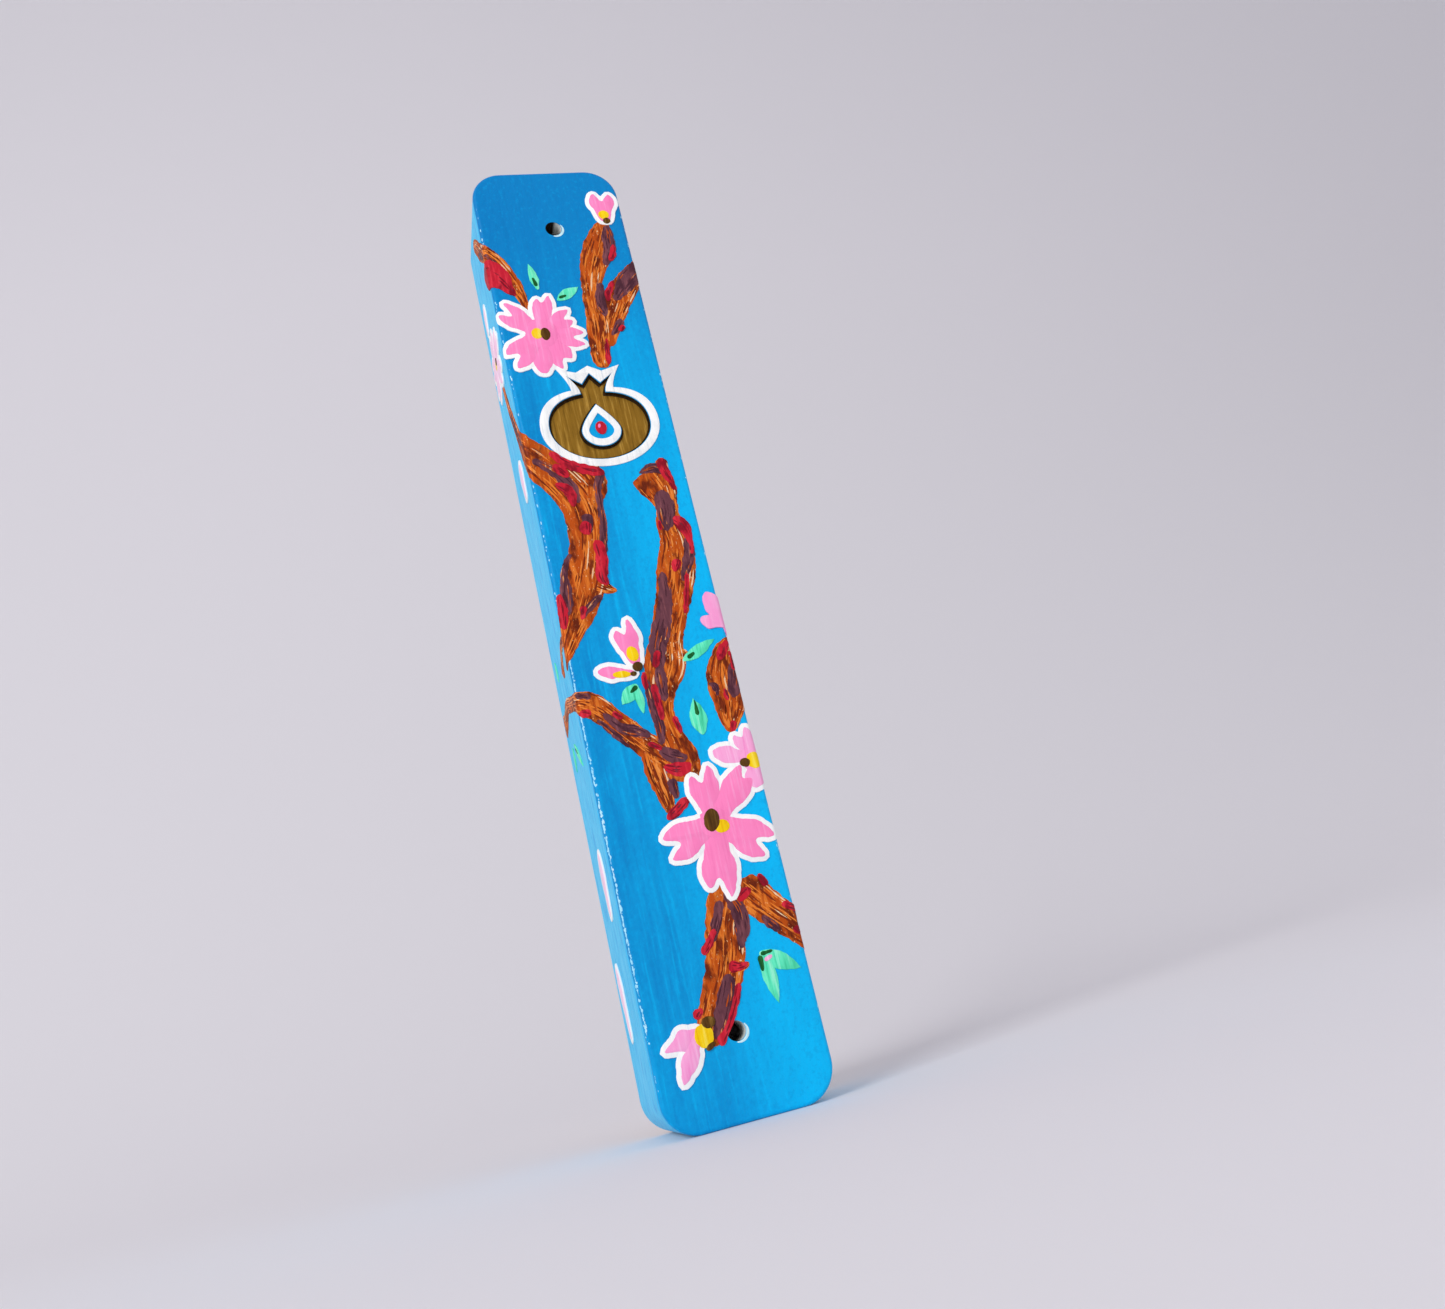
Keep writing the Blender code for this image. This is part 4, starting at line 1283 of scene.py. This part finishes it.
class MEZUZAH_OT_branches(bpy.types.Operator):
    """Paint the bark in copper, plum and crimson strokes, with the marks of the brush's bristles"""

    bl_idname = "mezuzah.branches"
    bl_label = "Branches"
    bl_options = {"UNDO"}

    BRISTLE_LIFT = 0.014

    def execute(self, context):
        colours = context.scene.mezuzah_colours
        painter = Painter(context.scene.mezuzah_sizes)
        fleck = linear(255, 206, 150)
        plum_shade = linear(76, 38, 50)
        coats = [
            ("copper", COPPER, COPPER_COAT, 0.16, "bark_copper", bark_paint(
                "bark_copper_paint", colours.copper, colours.copper_deep, colours.copper_bright, fleck,
                0.64, 0.25)),
            ("plum", PLUM, PLUM_COAT, 0.20, "bark_plum", bark_paint(
                "bark_plum_paint", colours.plum, plum_shade, linear(134, 78, 84), fleck, 0.76, 0.05)),
            ("crimson", CRIMSON, CRIMSON_COAT, 0.16, "bark_crimson", bark_paint(
                "bark_crimson_paint", colours.crimson, linear(140, 12, 34), linear(222, 50, 66), fleck,
                0.78, 0.0)),
        ]
        for word, layout, height, rough, slot, material in coats:
            for branch, strokes in layout.items():
                outlines = [brush_stroke(stops, rough, index + 1) for index, stops in enumerate(strokes)]
                painter.paint(f"{branch}_{word}", outlines, height, material, slot)
        # Bristle marks: word, the strokes under them, coat, marks per step, width, lean, slot, two colours.
        marks = [
            ("deep", COPPER, COPPER_COAT, 0.42, 0.24, 0.06, "bark_copper",
             linear(124, 44, 14), colours.copper_deep),
            ("bright", COPPER, COPPER_COAT, 0.55, 0.20, -0.05, "bark_copper", colours.copper_bright,
             linear(240, 154, 78)),
            ("pale", COPPER, COPPER_COAT, 0.10, 0.22, -0.42, "bark_copper",
             colours.tan, linear(255, 230, 200)),
            ("plum_deep", PLUM, PLUM_COAT, 0.22, 0.20, 0.0, "bark_plum", plum_shade, linear(90, 50, 60)),
            ("plum_bright", PLUM, PLUM_COAT, 0.10, 0.14, 0.0, "bark_copper", colours.copper, fleck),
            ("crimson_deep", CRIMSON, CRIMSON_COAT, 0.20, 0.20, 0.0, "bark_crimson",
             linear(130, 14, 36), colours.plum),
        ]
        for word, layout, height, density, widest, lean, slot, colour, bright in marks:
            material = brushed_paint(f"bristle_{word}_paint", colour, colour, bright, 0.40, 0.15)
            for branch, strokes in layout.items():
                outlines = []
                for index, stops in enumerate(strokes):
                    outlines += bristles(stops, density, widest, lean, f"{word}{index}")
                name = f"{branch}_bristles_{word}"
                painter.paint(name, outlines, height + self.BRISTLE_LIFT, material, slot, 0.0)
        return {"FINISHED"}


class MEZUZAH_OT_blossoms(bpy.types.Operator):
    """Paint the pink petals, their white outlines and the dots in the flowers' middles"""

    bl_idname = "mezuzah.blossoms"
    bl_label = "Blossoms"
    bl_options = {"UNDO"}

    OUTLINE_WIDTH = 0.55

    def execute(self, context):
        colours = context.scene.mezuzah_colours
        painter = Painter(context.scene.mezuzah_sizes)
        white = acrylic(colours, "petal_outline_paint")
        pink = acrylic(colours, "petal_pink_paint")
        pale = acrylic(colours, "petal_pale_paint")
        faint = acrylic(colours, "petal_faint_paint")
        yellow = acrylic(colours, "stamen_yellow_paint")
        brown = acrylic(colours, "stamen_brown_paint")
        for name, (middle, radius, petals) in BLOSSOMS.items():
            faces = []
            for index, petal in enumerate(petals):
                shape = petal if middle is None else (middle, *petal)
                faces.append(petal_outline(*shape, seed=index))
            rims = [grown(face, self.OUTLINE_WIDTH) for face in faces]
            if radius:
                faces.append(blob(middle, radius, radius, 0, 0.2))
            painter.paint(f"{name}_outline", rims, WHITE_COAT, white, "outline_white", 0.04)
            paint = pale if name in PALE_BLOSSOMS else faint if name in SIDE_BLOSSOMS else pink
            painter.paint(f"{name}_petals", faces, PETAL_COAT, paint, "petal_pink", 0.04)
        lone = [petal_outline(*petal, seed=3) for petal in LONE_PETALS]
        painter.paint("lone_petal", lone, PETAL_COAT, pale, "petal_pink", 0.04)
        for name, dabs, height, material, slot in (
                ("yellow_dots", YELLOW_DABS, YELLOW_COAT, yellow, "stamen_yellow"),
                ("brown_dots", BROWN_DABS, BROWN_COAT, brown, "stamen_brown")):
            outlines = [
                blob((across, up), wide, high, angle, 0.06, index)
                for index, (across, up, wide, high, angle) in enumerate(dabs)
            ]
            painter.paint(name, outlines, height, material, slot, 0.06)
        return {"FINISHED"}


class MEZUZAH_OT_leaves(bpy.types.Operator):
    """Paint the mint leaves with their dark dabs"""

    bl_idname = "mezuzah.leaves"
    bl_label = "Leaves"
    bl_options = {"UNDO"}

    def execute(self, context):
        colours = context.scene.mezuzah_colours
        painter = Painter(context.scene.mezuzah_sizes)
        mint = acrylic(colours, "leaf_mint_paint")
        dark = acrylic(colours, "leaf_dark_paint")
        pale = acrylic(colours, "leaf_glint_paint")
        leaves = [leaf_outline(base, tip, width, index) for index, (base, tip, width) in enumerate(LEAVES)]
        painter.paint("leaves", leaves, LEAF_COAT, mint, "leaf_mint", 0.03)
        dabs = [brush_stroke(stops, 0.06, index) for index, stops in enumerate(LEAF_DABS)]
        painter.paint("leaf_dabs", dabs, LEAF_DAB_COAT, dark, "leaf_dark", 0.03)
        painter.paint("leaf_glint", [brush_stroke(LEAF_GLINT, 0.05)], LEAF_DAB_COAT, pale, "petal_pink", 0.03)
        return {"FINISHED"}


class MEZUZAH_OT_wear_and_highlights(bpy.types.Operator):
    """Rub the blue pale along the front's long edges and its ends, partly as wear and partly as a painted
    highlight along the lit left edge, and chip it at the nail holes, where the pale crescents are partly a
    painted highlight
    """

    bl_idname = "mezuzah.wear"
    bl_label = "Worn edges and highlights"
    bl_options = {"UNDO"}

    # Each line of pale marks, in millimetres: side, its run up the case, how many marks, and the widest one.
    # The dense lines on the left are partly wear and partly a painted highlight along the lit edge.
    LINES = (
        (-1, -52.0, -8.0, 300, 0.15),
        (-1, -58.0, 2.0, 90, 0.12),
        (-1, 2.0, 58.0, 60, 0.12),
        (1, -58.0, 58.0, 50, 0.12),
    )
    # Where the line of pale marks lies across the front, and how far its marks stray from it.
    EDGE_ACROSS = 9.86
    STRAY = 0.055
    MARK_ROUND = 0.004

    def execute(self, context):
        sizes = context.scene.mezuzah_sizes
        painter = Painter(sizes)
        dice = random.Random(613)
        colours = context.scene.mezuzah_colours
        edge_wear_and_highlight_material = acrylic(colours, "edge_wear_and_highlight_paint")
        primer_and_highlight = brushed_paint(
            "primer_chip_and_highlight_paint", linear(206, 240, 242), linear(170, 214, 222), linear(244, 252, 250), 0.6)
        marks = []
        for side, low, high, count, widest in self.LINES:
            for index in range(count):
                up = dice.uniform(low, high)
                across = side * (self.EDGE_ACROSS + dice.gauss(0.0, self.STRAY))
                length = dice.uniform(0.12, 0.55)
                width = dice.uniform(0.07, widest)
                drift = dice.uniform(-0.05, 0.05)
                foot, tip = (across, up, width * 0.4), (across, up + length, 0.1)
                middle = (across + drift, up + length / 2, width)
                marks.append(brush_stroke([foot, middle, tip], 0.10, index, 0.18))
        painter.paint("edge_wear_and_highlights", marks, WEAR_AND_HIGHLIGHT_COAT, edge_wear_and_highlight_material, "blue_paint", self.MARK_ROUND)
        # The pale crescent on the right of each nail hole's rim is partly chipped paint and partly a painted
        # highlight where the light falls on the rim.
        chip_and_highlight_outlines = []
        hole = sizes.hole_radius / MM
        for end in (1, -1):
            middle = end * sizes.hole_spacing / MM / 2
            rim = []
            for step in range(7):
                around = math.radians(-100 + 22 * step)
                thick = 0.10 + 0.24 * math.sin(math.pi * step / 6)
                reach = hole + 0.04 + thick / 2
                rim.append((reach * math.cos(around), middle + reach * math.sin(around), thick))
            chip_and_highlight_outlines.append(brush_stroke(rim, 0.04, end, 0.12))
        painter.paint("hole_chips_and_highlights", chip_and_highlight_outlines, WEAR_AND_HIGHLIGHT_COAT, primer_and_highlight, "blue_paint", self.MARK_ROUND)
        return {"FINISHED"}


class MEZUZAH_OT_cover(bpy.types.Operator):
    """Make the plywood cover that closes the channel behind"""

    bl_idname = "mezuzah.cover"
    bl_label = "Back cover"
    bl_options = {"UNDO"}

    EDGE_ROUND = 0.00018

    def execute(self, context):
        sizes = context.scene.mezuzah_sizes
        size = COVER_HIGH - COVER_LOW
        gap = (sizes.channel_width + 2 * sizes.rebate_margin - size.x) / 2
        cover = rounded_block(size, sizes.router_radius - gap, self.EDGE_ROUND, 10, 3)
        cover.location = (COVER_LOW + COVER_HIGH) / 2
        bpy.ops.object.transform_apply(location=True, rotation=False, scale=False)
        cover.name = "plywood_cover"
        cover.data.name = "plywood_cover"
        cover.data.materials.append(plywood_material(context.scene.mezuzah_colours))
        soften_shading(cover)
        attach(cover, "cover")
        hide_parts("back_cover")
        return {"FINISHED"}


def rolled_sheet(name, radius_at, start, end, low, high, thickness):
    """A sheet rolled round the sleeve's axis. Its outer face is radius_at(angle) from the axis."""
    rows = 2
    columns_per_turn = 96
    steps = max(24, round((end - start) / math.tau * columns_per_turn))
    axis = Vector(((SLEEVE_LOW.x + SLEEVE_HIGH.x) / 2, (SLEEVE_LOW.y + SLEEVE_HIGH.y) / 2, 0.0))
    shape = bmesh.new()
    columns = []
    for step in range(steps + 1):
        angle = start + (end - start) * step / steps
        spoke = Vector((math.cos(angle), math.sin(angle), 0.0)) * radius_at(angle)
        ends = [axis + spoke + Vector((0.0, 0.0, low + (high - low) * row / rows)) for row in range(rows + 1)]
        columns.append([shape.verts.new(spot) for spot in ends])
    for here, there in zip(columns, columns[1:]):
        for row in range(rows):
            shape.faces.new((here[row], there[row], there[row + 1], here[row + 1]))
    mesh = bpy.data.meshes.new(name)
    shape.to_mesh(mesh)
    shape.free()
    sheet = new_object(name, mesh)
    thick = sheet.modifiers.new("thickness", "SOLIDIFY")
    thick.thickness = thickness
    thick.offset = -1.0
    thick.use_even_offset = True
    return soften_shading(sheet)


class MEZUZAH_OT_scroll(bpy.types.Operator):
    """Roll the parchment"""

    bl_idname = "mezuzah.scroll"
    bl_label = "Parchment scroll"
    bl_options = {"UNDO"}

    BORE = 0.0019
    # From the sleeve's outer face to the roll: the sleeve's wall and a hand fit.
    CLEARANCE = 0.0006

    def execute(self, context):
        sizes = context.scene.mezuzah_sizes
        outer = (SLEEVE_HIGH.x - SLEEVE_LOW.x) / 2 - self.CLEARANCE
        turns = (outer - self.BORE) / sizes.parchment_pitch
        end = math.radians(250.0)
        start = end - turns * math.tau

        def radius_at(angle):
            return self.BORE + (outer - self.BORE) * (angle - start) / (end - start)

        scroll = rolled_sheet(
            "parchment_roll", radius_at, start, end, SCROLL_LOW.z, SCROLL_HIGH.z, sizes.parchment_thickness)
        scroll.data.materials.append(parchment_material(context.scene.mezuzah_colours))
        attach(scroll, "roll")
        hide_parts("scroll")
        return {"FINISHED"}


class MEZUZAH_OT_sleeve(bpy.types.Operator):
    """Wrap the scroll in clear film with a lapped seam"""

    bl_idname = "mezuzah.sleeve"
    bl_label = "Film sleeve"
    bl_options = {"UNDO"}

    FILM = 0.00010
    LAP = math.radians(34.0)
    LAP_START = math.radians(118.0)
    LIFT = 0.00016

    def execute(self, context):
        outer = (SLEEVE_HIGH.x - SLEEVE_LOW.x) / 2
        rise = math.tau - self.LAP

        def radius_at(angle):
            share = min(1.0, max(0.0, (angle - self.LAP_START - rise) / self.LAP))
            return outer - self.LIFT + self.LIFT * share * share * (3 - 2 * share)

        film = rolled_sheet(
            "film_sleeve", radius_at, self.LAP_START, self.LAP_START + math.tau + self.LAP, SLEEVE_LOW.z,
            SLEEVE_HIGH.z, self.FILM)
        film.data.materials.append(film_material())
        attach(film, "roll")
        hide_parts("scroll_sleeve")
        return {"FINISHED"}


class MEZUZAH_OT_stage(bpy.types.Operator):
    """Set the pale floor, the soft lights and the camera"""

    bl_idname = "mezuzah.stage"
    bl_label = "Stage"
    bl_options = {"UNDO"}

    # Each light: name, place, side of its square, power in watts.
    LIGHTS = (
        ("key_light", (-0.72, -0.72, 0.42), 0.45, 6.4),
        ("fill_light", (0.75, -0.80, 0.10), 0.80, 1.6),
    )
    # How many times wider than deep the floor is.
    WIDENING = 3.0
    WALL_Y = 0.80
    SWEEP_RADIUS = 0.70

    def floor(self, settings):
        """A floor that sweeps up into a wall far behind."""
        half = settings.floor_size / 2
        middle = (0, self.WALL_Y - half, CASE_LOW.z)
        bpy.ops.mesh.primitive_plane_add(size=settings.floor_size, location=middle)
        floor = bpy.context.object
        floor.name = "floor"
        floor.scale.x = self.WIDENING
        bpy.ops.object.transform_apply(location=True, rotation=False, scale=True)
        shape = bmesh.new()
        shape.from_mesh(floor.data)
        far = [edge for edge in shape.edges if all(vert.co.y > self.WALL_Y - half for vert in edge.verts)]
        raised = bmesh.ops.extrude_edge_only(shape, edges=far)["geom"]
        raised = [item for item in raised if isinstance(item, bmesh.types.BMVert)]
        bmesh.ops.translate(shape, verts=raised, vec=(0, 0, settings.floor_size))
        shape.to_mesh(floor.data)
        shape.free()
        sweep = floor.modifiers.new("sweep", "BEVEL")
        sweep.width = self.SWEEP_RADIUS
        sweep.segments = 32
        floor.data.shade_smooth()
        graph = Graph("floor_paper")
        graph.shader.inputs["Specular IOR Level"].default_value = 0.1
        graph.put(graph.shader.inputs["Base Color"], linear(238, 235, 238))
        graph.put(graph.shader.inputs["Roughness"], 0.9)
        floor.data.materials.append(graph.material)
        return floor

    def execute(self, context):
        scene = context.scene
        settings = scene.mezuzah_stage
        staged = [self.floor(settings)]
        for name, place, side, power in self.LIGHTS:
            light = bpy.data.lights.new(name, "AREA")
            light.size = side
            light.energy = power
            lamp = bpy.data.objects.new(name, light)
            scene.collection.objects.link(lamp)
            lamp.location = place
            lamp.rotation_euler = (-Vector(place)).to_track_quat("-Z", "Y").to_euler()
            staged.append(lamp)
        world = bpy.data.worlds.new("soft_room")
        world.use_nodes = True
        background = world.node_tree.nodes["Background"]
        background.inputs["Color"].default_value = (*linear(232, 232, 240), 1.0)
        background.inputs["Strength"].default_value = 0.66
        scene.world = world
        lens = bpy.data.cameras.new("camera")
        lens.lens = settings.lens
        lens.clip_start = 0.01
        camera = bpy.data.objects.new("camera", lens)
        scene.collection.objects.link(camera)
        place, aim = Vector(settings.camera_place), Vector(settings.camera_aim)
        facing = (aim - place).to_track_quat("-Z", "Y").to_matrix().to_4x4()
        tilt = Matrix.Rotation(-settings.camera_roll, 4, "Z")
        camera.matrix_world = Matrix.Translation(place) @ facing @ tilt
        scene.camera = camera
        scene.view_settings.view_transform = "Standard"
        return {"FINISHED"}


OPERATORS = (
    MEZUZAH_OT_block,
    MEZUZAH_OT_emblem,
    MEZUZAH_OT_branches,
    MEZUZAH_OT_blossoms,
    MEZUZAH_OT_leaves,
    MEZUZAH_OT_wear_and_highlights,
    MEZUZAH_OT_cover,
    MEZUZAH_OT_scroll,
    MEZUZAH_OT_sleeve,
    MEZUZAH_OT_stage,
)


class MEZUZAH_PT_panel(bpy.types.Panel):
    """Lists the case's pieces in the order in which they are made."""

    bl_idname = "MEZUZAH_PT_panel"
    bl_label = "Mezuzah case"
    bl_space_type = "VIEW_3D"
    bl_region_type = "UI"
    bl_category = "Mezuzah"

    def draw(self, context):
        for operator in OPERATORS:
            self.layout.operator(operator.bl_idname)


CLASSES = (CaseSizes, PaintColours, StageSettings, *OPERATORS, MEZUZAH_PT_panel)


def register():
    for cls in CLASSES:
        bpy.utils.register_class(cls)
    bpy.types.Scene.mezuzah_sizes = bpy.props.PointerProperty(type=CaseSizes)
    bpy.types.Scene.mezuzah_colours = bpy.props.PointerProperty(type=PaintColours)
    bpy.types.Scene.mezuzah_stage = bpy.props.PointerProperty(type=StageSettings)


def unregister():
    del bpy.types.Scene.mezuzah_stage
    del bpy.types.Scene.mezuzah_colours
    del bpy.types.Scene.mezuzah_sizes
    for cls in reversed(CLASSES):
        bpy.utils.unregister_class(cls)


def main():
    """Make every piece."""
    register()
    bpy.ops.mezuzah.block()
    bpy.ops.mezuzah.emblem()
    bpy.ops.mezuzah.branches()
    bpy.ops.mezuzah.blossoms()
    bpy.ops.mezuzah.leaves()
    bpy.ops.mezuzah.wear()
    bpy.ops.mezuzah.cover()
    bpy.ops.mezuzah.scroll()
    bpy.ops.mezuzah.sleeve()
    bpy.ops.mezuzah.stage()


if __name__ == "__main__":
    main()
